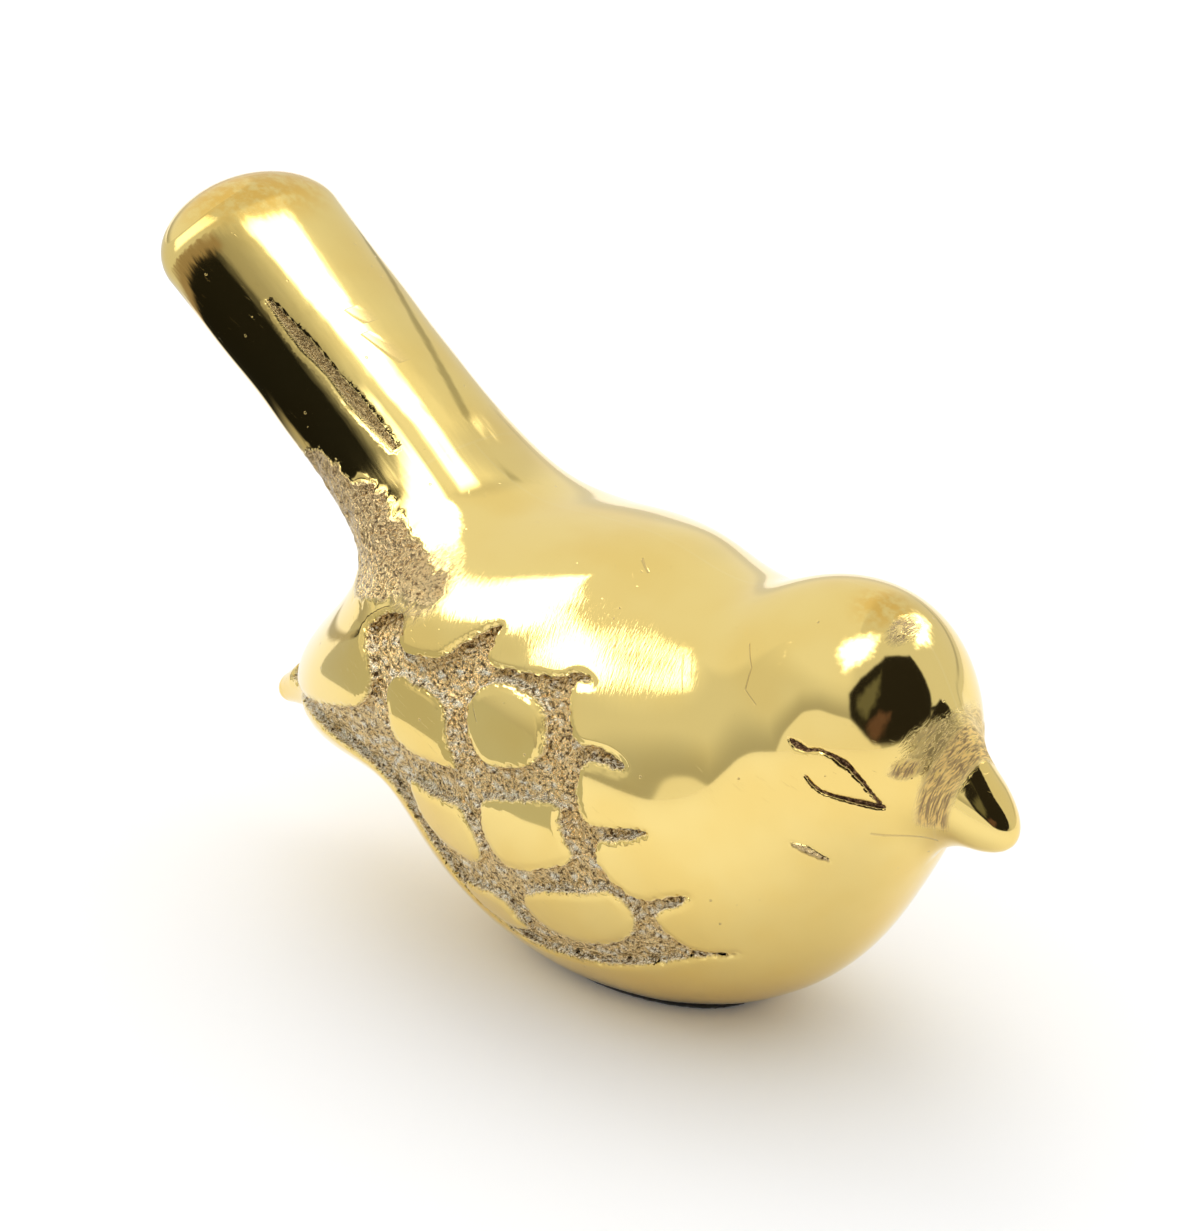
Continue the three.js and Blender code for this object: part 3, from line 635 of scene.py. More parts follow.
@dataclass
class Foundry:
    """Divides the netted skin into its castings and the thin braze between them."""

    skin: BirdSkin
    points: np.ndarray
    faces: np.ndarray
    seam_half: float = 0.125
    braze_from: float = 0.25
    braze_to: float = 0.55
    tail_joint: float = 11.0
    tail_reach: float = -13.3
    beak_joint: float = 0.5

    def joint(self, root: Point, slope: float, distance: float, lowest: float = -math.inf) -> Cut:
        """The cut square across a tail or beak, so many mm from its root along its slope in degrees."""
        wx, wz = slanted(slope)
        return Cut((root[0] + wx * distance, 0.0, root[1] + wz * distance), (wx, 0.0, wz), lowest)

    def piece(self, name: str, cuts: list[Cut]) -> bpy.types.Object:
        """Cuts one closed piece out of the skin and dresses it with its marks.

        Args:
            name: The piece's name.
            cuts: The planes that bound it, in order.

        Returns:
            The piece.
        """
        metal = bmesh.new()
        verts = [metal.verts.new(p) for p in self.points]
        for face in self.faces:
            metal.faces.new([verts[i] for i in face]).smooth = True
        for cut in cuts:
            cut.apply(metal)
        self.keep_largest(metal)
        mesh = bpy.data.meshes.new(name)
        metal.to_mesh(mesh)
        metal.free()
        piece = add_object(name, mesh)
        self.finish_skin(mesh)
        mesh.transform(Matrix.Scale(MM, 4))
        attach(piece, "root")
        log.info("%s: %d faces", name, len(mesh.polygons))
        return piece

    def keep_largest(self, metal: bmesh.types.BMesh) -> None:
        """Drops every loose shell but the one with most points."""
        left, shells = set(metal.verts), []
        while left:
            seed = left.pop()
            shell, front = {seed}, [seed]
            while front:
                for edge in front.pop().link_edges:
                    for vert in edge.verts:
                        if vert not in shell:
                            shell.add(vert)
                            front.append(vert)
            left -= shell
            shells.append(shell)
        largest = max(shells, key=len)
        loose = [vert for shell in shells if shell is not largest for vert in shell]
        bmesh.ops.delete(metal, geom=loose, context="VERTS")

    def finish_skin(self, mesh: bpy.types.Mesh) -> None:
        """Writes the marks and the polished skin's own normals on a mesh that is still in mm."""
        at = np.empty(3 * len(mesh.vertices))
        mesh.vertices.foreach_get("co", at)
        at = at.reshape(-1, 3)
        for mark in Mark:
            kept = mesh.attributes.new(mark.value, "FLOAT", "POINT")
            kept.data.foreach_set("value", self.skin.mark(mark, at).astype(np.float32))
        out = self.skin.slope(at)[0]
        loops, polished = np.empty(len(mesh.loops), int), np.empty(len(mesh.polygons), bool)
        mesh.loops.foreach_get("vertex_index", loops)
        mesh.polygons.foreach_get("use_smooth", polished)
        flat, size = np.empty(3 * len(mesh.polygons)), np.empty(len(mesh.polygons), int)
        mesh.polygons.foreach_get("normal", flat)
        mesh.polygons.foreach_get("loop_total", size)
        normals = np.where(np.repeat(polished, size)[:, None], out[loops],
                           np.repeat(flat.reshape(-1, 3), size, axis=0))
        mesh.normals_split_custom_set(normals.tolist())

    def castings(self) -> dict[str, bpy.types.Object]:
        """Cuts every casting and braze line, by name."""
        flat = Cut((0.0, 0.0, self.skin.flat_height), (0.0, 0.0, -1.0))
        bird = self.skin
        tail_start = self.joint(bird.tail.root, bird.tail.slope, self.tail_joint + self.braze_from)
        tail_end = Cut(tail_start.at, tail_start.normal, self.tail_reach)
        beak_end = self.joint(bird.beak_root, bird.beak_slope, self.beak_joint + self.braze_from)
        torso = [flat, tail_end, beak_end]
        right = Cut((0.0, -self.seam_half, 0.0), (0.0, 1.0, 0.0))
        left = Cut((0.0, self.seam_half, 0.0), (0.0, -1.0, 0.0))
        film = self.braze_to - self.braze_from
        cuts = {
            "polished_right_half": [right, *torso],
            "polished_left_half": [left, *torso],
            "seam_braze": [left.other_way(), right.other_way(), *torso],
            "polished_tail": [tail_start.other_way(film)],
            "tail_joint_braze": [tail_start.other_way(), tail_start.moved(film)],
            "polished_beak": [beak_end.other_way(film)],
            "beak_joint_braze": [beak_end.other_way(), beak_end.moved(film)],
        }
        return {name: self.piece(name, planes) for name, planes in cuts.items()}


@dataclass
class FeltFoot:
    """The felt oval that the bird stands on, its edge soft and its face matted."""

    half_length: float = 12.9
    half_width: float = 7.9
    thickness: float = 1.0
    edge_radius: float = 0.35
    rings: int = 34
    around: int = 200
    matting: float = 0.05
    lint: float = 0.02
    fringe: float = 0.012
    fringe_from: float = 0.9
    seed: int = 3

    def build(self) -> bpy.types.Object:
        """Makes the pad as one closed mesh."""
        rng = np.random.default_rng(self.seed)
        shares = np.linspace(0.0, 1.0, self.rings)[1:]
        turns = np.linspace(-math.pi / 2, math.pi / 2, 7)[1:-1]
        inner = 1.0 - self.edge_radius / self.half_width
        middle = 0.5 * self.thickness
        rows = [(inner * share, 0.0) for share in shares]
        rows += [(inner + (1 - inner) * math.cos(t), middle * (1 + math.sin(t))) for t in turns]
        rows += [(inner * share, self.thickness) for share in shares[::-1]]
        felt = bmesh.new()
        rounds = []
        for share, z in rows:
            ring = []
            for i in range(self.around):
                turn = 2 * math.pi * i / self.around
                fuzz = 1.0 + (self.fringe * rng.uniform(-1, 0) if share > self.fringe_from else 0.0)
                low = self.lint * (z < middle) * rng.uniform(0, 1)
                high = -self.matting * (z > middle) * rng.uniform(0, 1)
                ring.append(felt.verts.new((self.half_length * share * fuzz * math.cos(turn),
                                            self.half_width * share * fuzz * math.sin(turn),
                                            z + low + high)))
            rounds.append(ring)
        for one, other in zip(rounds, rounds[1:]):
            for i in range(self.around):
                j = (i + 1) % self.around
                felt.faces.new((one[i], one[j], other[j], other[i])).smooth = True
        for ring, z, order in ((rounds[0], 0.0, -1), (rounds[-1], self.thickness, 1)):
            hub = felt.verts.new((0.0, 0.0, z))
            for i in range(self.around):
                trio = (hub, ring[i], ring[(i + 1) % self.around])
                felt.faces.new(trio[::order]).smooth = True
        mesh = bpy.data.meshes.new("felt_foot")
        felt.to_mesh(mesh)
        felt.free()
        mesh.transform(Matrix.Scale(MM, 4))
        pad = add_object("felt_foot", mesh)
        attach(pad, "root")
        return pad


class Wire:
    """A shader value that sums can be written with; its operators add Math nodes."""

    def __init__(self, recipe: "Recipe", socket: bpy.types.NodeSocket) -> None:
        """Keeps the socket and the recipe that it belongs to."""
        self.recipe = recipe
        self.socket = socket

    def math(self, operation: str, *values: "Wire | float") -> "Wire":
        """Adds one Math node with the values in order."""
        return self.recipe.node("ShaderNodeMath", {"operation": operation}, dict(enumerate(values)))

    def __add__(self, other: "Wire | float") -> "Wire":
        """Sum."""
        return self.math("ADD", self, other)

    __radd__ = __add__

    def __mul__(self, other: "Wire | float") -> "Wire":
        """Product."""
        return self.math("MULTIPLY", self, other)

    __rmul__ = __mul__

    def __sub__(self, other: "Wire | float") -> "Wire":
        """Difference."""
        return self.math("SUBTRACT", self, other)

    def __rsub__(self, other: "Wire | float") -> "Wire":
        """Difference from a number."""
        return self.math("SUBTRACT", other, self)

    def __truediv__(self, other: "Wire | float") -> "Wire":
        """Quotient."""
        return self.math("DIVIDE", self, other)

    def __pow__(self, other: "Wire | float") -> "Wire":
        """Power."""
        return self.math("POWER", self, other)

    def __abs__(self) -> "Wire":
        """Size without sign."""
        return self.math("ABSOLUTE", self)

    def least(self, other: "Wire | float") -> "Wire":
        """The lesser of two."""
        return self.math("MINIMUM", self, other)

    def most(self, other: "Wire | float") -> "Wire":
        """The greater of two."""
        return self.math("MAXIMUM", self, other)

    def rise(self, start: float, end: float) -> "Wire":
        """0 before start, 1 after end, an easy slope between; start above end turns it round."""
        low, high, flip = (start, end, False) if start < end else (end, start, True)
        span = {0: self, 1: low, 2: high, 3: 1.0 if flip else 0.0, 4: 0.0 if flip else 1.0}
        return self.recipe.node("ShaderNodeMapRange", {"interpolation_type": "SMOOTHSTEP"}, span)

    def between(self, start: float, end: float, soft: float) -> "Wire":
        """1 from start to end, falling to 0 over soft beyond them."""
        return self.rise(start - soft, start) * self.rise(end + soft, end)


class Recipe:
    """A node tree that is written as sums: its node method adds any node but a Math node."""

    def __init__(self, tree: bpy.types.NodeTree) -> None:
        """Empties the tree."""
        self.tree = tree
        tree.nodes.clear()

    def node(self, kind: str, settings: dict, sockets: dict, output: int | str = 0) -> Wire:
        """Adds a node.

        Args:
            kind: The node's type.
            settings: Its own settings, set before its sockets; stops are a ramp's places and colours.
            sockets: Values or wires by the socket's number or name.
            output: Which output is handed back.

        Returns:
            The output.
        """
        made = self.tree.nodes.new(kind)
        for name, setting in settings.items():
            if name == "stops":
                for extra in range(len(setting) - 2):
                    made.color_ramp.elements.new(0.5)
                for stop, (place, colour) in zip(made.color_ramp.elements, setting):
                    stop.position, stop.color = place, (*colour, 1.0)
            else:
                setattr(made, name, setting)
        for key, value in sockets.items():
            socket = made.inputs[key]
            if isinstance(value, Wire):
                self.tree.links.new(value.socket, socket)
            elif socket.type == "RGBA" and len(value) == 3:
                socket.default_value = (*value, 1.0)
            else:
                socket.default_value = value
        return Wire(self, made.outputs[output]) if len(made.outputs) else None

    def blend(self, share: Wire | float, one: Wire | Colour, other: Wire | Colour) -> Wire:
        """Mixes two colours: one where share is 0, other where it is 1."""
        return self.node("ShaderNodeMix", {"data_type": "RGBA"}, {0: share, 6: one, 7: other}, 2)

    def parts(self, vector: Wire) -> tuple[Wire, Wire, Wire]:
        """A vector's x, y and z."""
        split = self.node("ShaderNodeSeparateXYZ", {}, {0: vector}).socket.node
        return tuple(Wire(self, output) for output in split.outputs)

    def dot(self, vector: Wire, other: tuple[float, float, float]) -> Wire:
        """How far a vector reaches along another."""
        return self.node("ShaderNodeVectorMath", {"operation": "DOT_PRODUCT"}, {0: vector, 1: other}, "Value")

    def grey(self, level: Wire, blue: float = 1.0) -> Wire:
        """A grey of this level, its blue scaled."""
        return self.node("ShaderNodeCombineColor", {}, {0: level, 1: level, 2: level * blue})

    def ray(self, *kinds: str) -> Wire:
        """1 for rays of any of these kinds, named as on the Light Path node."""
        path = self.node("ShaderNodeLightPath", {}, {}).socket.node
        found = [Wire(self, path.outputs[kind]) for kind in kinds]
        return found[0] if len(found) == 1 else found[0].most(found[1])

    def ray_length(self) -> Wire:
        """How far in mm the ray has come."""
        return self.node("ShaderNodeLightPath", {}, {}, "Ray Length") * (1.0 / MM)

    def kept(self, name: str) -> Wire:
        """A number that the mesh keeps under a name."""
        return self.node("ShaderNodeAttribute", {"attribute_name": name}, {}, "Fac")

    def place(self, stretch: tuple[float, float, float] = (1.0, 1.0, 1.0),
              turn: tuple[float, float, float] = (0.0, 0.0, 0.0)) -> Wire:
        """The place on the object in mm, turned by degrees and then stretched."""
        at = self.node("ShaderNodeTexCoord", {}, {}, "Object")
        at = self.node("ShaderNodeVectorMath", {"operation": "SCALE"}, {0: at, "Scale": 1.0 / MM})
        if turn == (0.0, 0.0, 0.0) and stretch == (1.0, 1.0, 1.0):
            return at
        angles = tuple(map(math.radians, turn))
        turned = self.node("ShaderNodeMapping", {}, {"Vector": at, "Rotation": angles})
        return self.node("ShaderNodeMapping", {}, {"Vector": turned, "Scale": stretch})

    def noise(self, at: Wire, size: float, detail: float = 2.0, rough: float = 0.5) -> Wire:
        """Even noise whose lumps are about size mm across."""
        return self.node("ShaderNodeTexNoise", {}, {"Vector": at, "Scale": 1.0 / size, "Detail": detail,
                                                    "Roughness": rough}, "Fac")

    def cells(self, at: Wire, size: float) -> Wire:
        """Distance from the nearest of scattered points about size mm apart, from 0 to about 1."""
        return self.node("ShaderNodeTexVoronoi", {}, {"Vector": at, "Scale": 1.0 / size}, "Distance")

    def bumped(self, height: Wire, strength: float = 1.0) -> Wire:
        """The normal of a surface raised by height in mm."""
        return self.node("ShaderNodeBump", {}, {"Strength": strength, "Distance": MM, "Height": height})

    def surface(self, sockets: dict) -> None:
        """Ends the recipe with a surface of these properties."""
        shader = self.node("ShaderNodeBsdfPrincipled", {}, sockets)
        self.node("ShaderNodeOutputMaterial", {}, {"Surface": shader})

    def glow(self, share: Wire, light: Wire | Colour) -> None:
        """Ends the recipe with light where share is 1, and nothing to see where it is 0."""
        shine = self.node("ShaderNodeEmission", {}, {"Color": light, "Strength": 1.0})
        clear = self.node("ShaderNodeBsdfTransparent", {}, {})
        mixed = self.node("ShaderNodeMixShader", {}, {0: share, 1: clear, 2: shine})
        self.node("ShaderNodeOutputMaterial", {}, {"Surface": mixed})


def new_material(name: str) -> tuple[bpy.types.Material, Recipe]:
    """A material with this name, and its empty recipe."""
    material = bpy.data.materials.new(name)
    material.use_nodes = True
    return material, Recipe(material.node_tree)


@dataclass(frozen=True)
class Scratch:
    """One fine scratch on the right flank, from end to end as x and z in mm."""

    start: Point
    end: Point
    width: float = 0.09

    def on(self, recipe: Recipe, x: Wire, z: Wire) -> Wire:
        """1 along the scratch, 0 away from it."""
        ex, ez = self.end[0] - self.start[0], self.end[1] - self.start[1]
        square = ex * ex + ez * ez
        t = (((x - self.start[0]) * ex + (z - self.start[1]) * ez) / square).most(0.0).least(1.0)
        away = ((x - self.start[0] - t * ex) ** 2.0 + (z - self.start[1] - t * ez) ** 2.0) ** 0.5
        return away.rise(self.width, 0.4 * self.width)


@dataclass(frozen=True)
class BrassFinish:
    """Cast brass: polished bright, brown and sandy in the ground, tarnished and scratched by use."""

    name: str
    bright: Colour = (0.925, 0.715, 0.265)
    warm: Colour = (0.90, 0.67, 0.225)
    ground: Colour = (0.98, 0.76, 0.40)
    pit: Colour = (0.17, 0.10, 0.045)
    # painted highlight: the near-white colour laid on upward-facing ground walls
    painted_highlight: Colour = (1.0, 0.95, 0.80)
    orange: Colour = (0.86, 0.55, 0.13)
    filed: Colour = (0.42, 0.30, 0.17)
    eye_dark: Colour = (0.07, 0.035, 0.018)
    eye_brown: Colour = (0.30, 0.18, 0.09)
    polish: float = 0.05
    ground_roughness: float = 0.15
    filed_roughness: float = 0.45
    sand_size: float = 0.34
    grit_size: float = 0.5
    broad_size: float = 9.0
    shoulder: Point = (-3.0, 36.5)
    shoulder_half: Point = (19.0, 5.5)
    scratches: tuple[Scratch, ...] = (
        Scratch((16.9, 40.9), (18.5, 39.5)), Scratch((18.5, 39.5), (18.8, 37.8)),
        Scratch((18.8, 37.8), (20.4, 37.0), 0.07), Scratch((10.6, 38.2), (12.3, 36.0)),
        Scratch((11.4, 38.4), (12.6, 37.0), 0.06), Scratch((0.3, 42.9), (1.9, 42.3), 0.06),
        Scratch((-40.0, 56.2), (-38.3, 55.1), 0.1), Scratch((-37.6, 54.4), (-34.0, 52.1), 0.08),
        Scratch((31.2, 26.6), (34.6, 25.4), 0.16), Scratch((-7.8, 30.4), (-6.6, 28.6), 0.06),
    )

    def hatch(self, r: Recipe, turn: float) -> Wire:
        """File strokes, bunched and uneven: 1 in a stroke's bottom, 0 between strokes."""
        strokes = r.noise(r.place((8.0, 1.2, 0.3), (0.0, turn, 0.0)), 1.0, 2.0, 0.6)
        bunches = r.noise(r.place((1.6, 0.8, 0.4), (0.0, turn, 0.0)), 1.0, 1.0)
        return strokes.rise(0.48, 0.58) * bunches.rise(0.32, 0.48)

    def make(self) -> bpy.types.Material:
        """Builds the material."""
        material, r = new_material(self.name)
        at = r.place()
        x, y, z = r.parts(at)
        ground, groove, eye, filed, tarnish, rim = (r.kept(mark.value) for mark in Mark)
        sand = r.noise(at, self.sand_size, 3.0, 0.7)
        grit = r.cells(at, self.grit_size)
        broad = r.noise(at, self.broad_size, 2.0)
        brushed = r.noise(r.place((5.0, 1.0, 0.4), (0.0, 12.0, 0.0)), 1.0, 2.0, 0.6)
        hair = r.noise(r.place((0.5, 1.0, 20.0), (0.0, -28.0, 0.0)), 1.4, 1.0)
        hairline = hair.rise(0.72, 0.78) * broad.rise(0.48, 0.62)
        pinhole = r.cells(at, 1.7).rise(0.09, 0.05) * r.noise(at, 6.0).rise(0.52, 0.6)
        cut = self.scratches[0].on(r, x, z)
        for scratch in self.scratches[1:]:
            cut = cut.most(scratch.on(r, x, z))
        cut = cut * y.rise(1.0, -1.0)  # the right flank alone
        worn = filed * r.noise(at, 1.2, 2.0).rise(0.3, 0.5)
        strokes = self.hatch(r, -12.0).most(self.hatch(r, -36.0) * 0.7) * filed
        along = (x - self.shoulder[0]) / self.shoulder_half[0]
        over = (z - self.shoulder[1]) / self.shoulder_half[1]
        shoulder = (1.0 - (along ** 2.0 + over ** 2.0)).rise(0.0, 0.6)
        cast = ground.rise(0.15, 0.75)
        gouge = groove.rise(0.2, 0.6)
        lid = (eye + (sand - 0.5) * 0.5).rise(0.3, 0.5)
        colour = r.blend(broad.rise(0.35, 0.7), self.bright, self.warm)
        stain = r.noise(at, 1.3, 3.0, 0.6).rise(0.32, 0.6) * tarnish
        colour = r.blend(stain.least(1.0), colour, self.orange)
        colour = r.blend(worn * 0.35, colour, self.ground)
        colour = r.blend(strokes * 0.9, colour, self.filed)
        sandy = r.blend((sand - gouge * 0.03).rise(0.37, 0.50), self.pit, self.ground)
        # painted highlight: the upward-facing ground walls are painted near white where the sand noise is
        # high
        sandy = r.blend(rim * sand.rise(0.36, 0.5), sandy, self.painted_highlight)
        sandy = r.blend(z.rise(35.5, 38.5) * 0.4, sandy, self.filed)
        colour = r.blend(cast.most(gouge * 0.8), colour, sandy)
        colour = r.blend(lid, colour, r.blend(sand.rise(0.46, 0.6), self.eye_dark, self.eye_brown))
        colour = r.blend((cut * 0.35 + hairline * 0.12 + pinhole * 0.5).least(1.0), colour, self.filed)
        roughness = self.polish + broad * 0.03 + hairline * 0.1 + cut * 0.12 + brushed * shoulder * 0.05
        roughness = roughness + worn * 0.17 + strokes * 0.12 + lid * 0.3
        roughness = roughness + filed * x.rise(31.0, 33.0) * self.filed_roughness
        roughness = roughness + cast.most(gouge) * (self.ground_roughness - self.polish)
        height = cast * (sand * 0.50 + grit * 0.42) + gouge * sand * 0.5 + lid * sand * 0.1
        height = height - strokes * 0.05 - cut * 0.03 - hairline * 0.004 - pinhole * 0.05
        height = height + brushed * (shoulder * 0.016) + r.noise(at, 3.5, 1.0) * 0.006
        r.surface({"Base Color": colour, "Metallic": 1.0, "Roughness": roughness, "Normal": r.bumped(height)})
        return material


@dataclass(frozen=True)
class GlueFinish:
    """Dried contact glue: pale amber, streaky and slightly shiny."""

    name: str
    pale: Colour = (0.62, 0.55, 0.36)
    dark: Colour = (0.42, 0.33, 0.17)

    def make(self) -> bpy.types.Material:
        """Builds the material."""
        material, r = new_material(self.name)
        swirl = r.noise(r.place((1.0, 3.0, 1.0), (0.0, 0.0, 25.0)), 2.4, 3.0, 0.6)
        bubbles = r.cells(r.place(), 0.9).rise(0.25, 0.1)
        colour = r.blend(swirl.rise(0.35, 0.65), self.dark, self.pale)
        r.surface({"Base Color": colour, "Roughness": swirl * 0.2 + 0.32,
                   "Normal": r.bumped(swirl * 0.03 + bubbles * 0.02)})
        return material


@dataclass(frozen=True)
class FeltFinish:
    """Pressed wool felt, near black, with paler loose fibres."""

    name: str
    deep: Colour = (0.012, 0.012, 0.011)
    fibre: Colour = (0.055, 0.053, 0.048)

    def make(self) -> bpy.types.Material:
        """Builds the material."""
        material, r = new_material(self.name)
        matted = r.noise(r.place(), 0.5, 4.0, 0.7)
        strands = r.noise(r.place((0.5, 6.0, 1.0), (0.0, 0.0, 35.0)), 0.7, 3.0, 0.7)
        crossing = r.noise(r.place((6.0, 0.5, 1.0), (0.0, 0.0, 20.0)), 0.7, 3.0, 0.7)
        fibres = strands.most(crossing)
        colour = r.blend(fibres.rise(0.55, 0.8), self.deep, self.fibre)
        r.surface({"Base Color": colour, "Roughness": 0.95, "Sheen Weight": 0.3,
                   "Normal": r.bumped(matted * 0.12 + fibres * 0.08, 0.9)})
        return material


@dataclass(frozen=True)
class Opening:
    """A door, pane or bright wall of the room that the brass reflects.

    Its convex outline runs anticlockwise, in degrees: as azimuth and height, or where overhead is
    set as places on the chart round the zenith, whose second axis points to azimuth 0.
    """

    outline: tuple[Point, ...]
    light: Colour
    soft: float = 2.0
    overhead: bool = False
    corner: float = 0.8
    ragged: float = 0.0

    def inside(self, recipe: Recipe, level: Wire, zenith: Wire) -> Wire:
        """How far a direction is inside the outline, in degrees.

        Args:
            recipe: The room's node tree.
            level: Azimuth, height and 1, as a vector.
            zenith: The chart round the zenith and 1, as a vector.

        Returns:
            Degrees, less than 0 outside.
        """
        chart = zenith if self.overhead else level
        nearest = None
        for (ax, ay), (bx, by) in zip(self.outline, self.outline[1:] + self.outline[:1]):
            length = math.hypot(bx - ax, by - ay)
            nx, ny = (ay - by) / length, (bx - ax) / length
            edge = recipe.dot(chart, (nx, ny, -(ax * nx + ay * ny)))
            nearest = edge if nearest is None else nearest.math("SMOOTH_MIN", nearest, edge, self.corner)
        if self.ragged:
            nearest = nearest + (recipe.noise(chart, 5.0, 3.0, 0.6) - 0.5) * self.ragged
        return nearest


@dataclass(frozen=True)
class Reflector:
    """A glowing card beside the bird, seen only in reflections of a certain length.

    Its outline lies in the plane through at that faces azimuth and height, in mm along the level
    axis and the rising axis.
    """

    name: str
    at: tuple[float, float, float]
    azimuth: float
    height: float
    outline: tuple[Point, ...]
    nearest: float
    farthest: float
    soft: float
    light: Colour
    fade: float = 1.0

    def build(self) -> bpy.types.Object:
        """Hangs the card, out of the picture."""
        way = heading(self.azimuth, self.height)
        along = Vector((0.0, 0.0, 1.0)).cross(way).normalized()
        rising = way.cross(along)
        sheet = bmesh.new()
        inner = sheet.verts.layers.float.new("inner")
        face = sheet.faces.new([sheet.verts.new((Vector(self.at) + u * along + v * rising) * MM)
                                for u, v in rounded(self.outline, 2).tolist()])
        bmesh.ops.inset_region(sheet, faces=[face], thickness=self.fade * MM)
        for vert in face.verts:
            vert[inner] = 1.0
        mesh = bpy.data.meshes.new(self.name)
        sheet.to_mesh(mesh)
        sheet.free()
        material, r = new_material(self.name)
        ragged = r.ray_length() + r.noise(r.place(), 1.6, 2.0) * self.soft * 2.0 - self.soft
        shown = ragged.between(self.nearest, self.farthest, self.soft)
        r.glow(shown * r.kept("inner") ** 2.0, self.light)
        return hang(self.name, mesh, material)


@dataclass(frozen=True)
class TailTent:
    """A glowing half-tube round the tail, painted in bands of light and shade, seen only in the tail's own
    reflections.

    Turns are in degrees round the tail's axis: 0 faces the bird's right, 90 faces up.
    """

    root: Point = (-19.5, 34.2)
    slope: float = 145.0
    radius: float = 28.0
    start: float = 21.0
    end: float = 86.0
    turns: Point = (-112.0, 188.0)
    farthest: float = 30.0
    strip_turn: float = 104.0
    strip_half: float = 9.0
    strip_growth: float = 0.44
    strip_ends: float = 51.0
    strip_light: float = 4.5
    black_ends: float = 47.0
    brown: Colour = (0.34, 0.27, 0.20)
    tip_light: Colour = (0.72, 0.72, 0.68)
    tip_patch: Colour = (1.9, 1.9, 1.8)
    tip_top: Colour = (0.76, 0.76, 0.73)
    root_light: Colour = (0.5, 0.48, 0.42)
    # the dim glow of the painted dark line
    dark_line_glow: Colour = (0.12, 0.12, 0.09)
    bands: tuple[tuple[float, float], ...] = (
        (-108.0, 0.5), (-98.0, 0.03), (-60.0, 0.012), (40.0, 0.012), (46.0, 0.13), (52.0, 0.40),
        (62.0, 0.44), (72.0, 0.54), (80.0, 0.72), (88.0, 0.95), (122.0, 1.0), (130.0, 0.84),
        (145.0, 0.78), (186.0, 0.74),
    )

    def build(self) -> bpy.types.Object:
        """Hangs the glowing half-tube, out of the picture."""
        wx, wz = slanted(self.slope)
        rows, columns, verts = 12, 100, []
        for row in range(rows + 1):
            along = self.start + (self.end - self.start) * row / rows
            for column in range(columns + 1):
                turn = math.radians(self.turns[0] + (self.turns[1] - self.turns[0]) * column / columns)
                up, out = self.radius * math.sin(turn), self.radius * math.cos(turn)
                verts.append(((self.root[0] + wx * along + wz * up) * MM, -out * MM,
                              (self.root[1] + wz * along - wx * up) * MM))
        wide = columns + 1
        faces = [(row * wide + column, row * wide + column + 1, (row + 1) * wide + column + 1,
                  (row + 1) * wide + column) for row in range(rows) for column in range(columns)]
        mesh = bpy.data.meshes.new("tail_tent")
        mesh.from_pydata(verts, [], faces)
        return hang("tail_tent", mesh, self.glow_bands())

    def glow_bands(self) -> bpy.types.Material:
        """Paints the half-tube's glow in bands of light and shade along the tail, with bright strips and a
        painted dark line.
        """
        wx, wz = slanted(self.slope)
        material, r = new_material("tail_tent")
        x, y, z = r.parts(r.place())
        x, z = x - self.root[0], z - self.root[1]
        along, up = x * wx + z * wz, x * wz - z * wx
        ragged = r.noise(r.place((0.5, 0.5, 0.5)), 1.0, 3.0, 0.6) - 0.5
        turn = up.math("ARCTAN2", up, y * -1.0) * (180.0 / math.pi)
        turn = turn.math("WRAP", turn, 240.0, -120.0)
        stops = [((place + 120.0) / 360.0, (level, level, level * 0.93)) for place, level in self.bands]
        share = (turn + ragged * 10.0 + 120.0) / 360.0
        bands = r.node("ShaderNodeValToRGB", {"stops": stops}, {0: share})
        uneven = along + ragged * 3.0
        ahead = uneven.rise(self.black_ends, self.black_ends + 1.5) * turn.rise(60.0, 50.0)
        bands = r.blend(ahead, bands, self.brown)
        bands = r.blend(uneven.rise(49.0, 51.5) * turn.rise(84.0, 72.0), bands, self.tip_light)
        patch = uneven.between(60.0, 74.0, 5.0) * (turn + ragged * 20.0).between(-2.0, 60.0, 14.0)
        bands = r.blend(patch, bands, self.tip_patch)
        bands = r.blend(along.rise(52.0, 58.0) * turn.rise(68.0, 80.0), bands, self.tip_top)
        root_edge = along.rise(36.0, 28.0) * (turn + ragged * 14.0).rise(-38.0, -52.0)
        bands = r.blend(root_edge, bands, self.root_light)
        # painted shade: a dark line in the glow, which the tail reflects
        dark_line = abs(turn - (along - 24.0) * 2.06 - 142.0 + ragged * 6.0).rise(6.0, 1.5)
        bands = r.blend(dark_line * 0.5, bands, self.dark_line_glow)
        half = along * self.strip_growth + (self.strip_half - 22.0 * self.strip_growth)
        strip = half - abs(turn - self.strip_turn)
        strip = strip.math("SMOOTH_MIN", strip, (along * -1.0 + self.strip_ends) * 5.0, 14.0)
        strip = (strip + ragged * 8.0).rise(-2.5, 5.0) ** 2.0
        bands = r.blend(strip, bands, (self.strip_light,) * 3)
        length = r.ray_length()
        pane = (length + ragged * 2.0).rise(22.8, 24.8) * along.rise(31.0, 27.0)
        bands = r.blend(pane * turn.between(24.0, 80.0, 5.0), bands, (self.strip_light,) * 3)
        shown = length.rise(self.farthest, self.farthest - 2.0)
        shown = shown.most(along.rise(50.0, 52.0) * length.rise(48.0, 42.0) * along.rise(85.0, 78.0))
        shown = shown * (along + ragged * 2.0).rise(self.start, self.start + 2.0)
        r.glow(shown, bands)
        return material


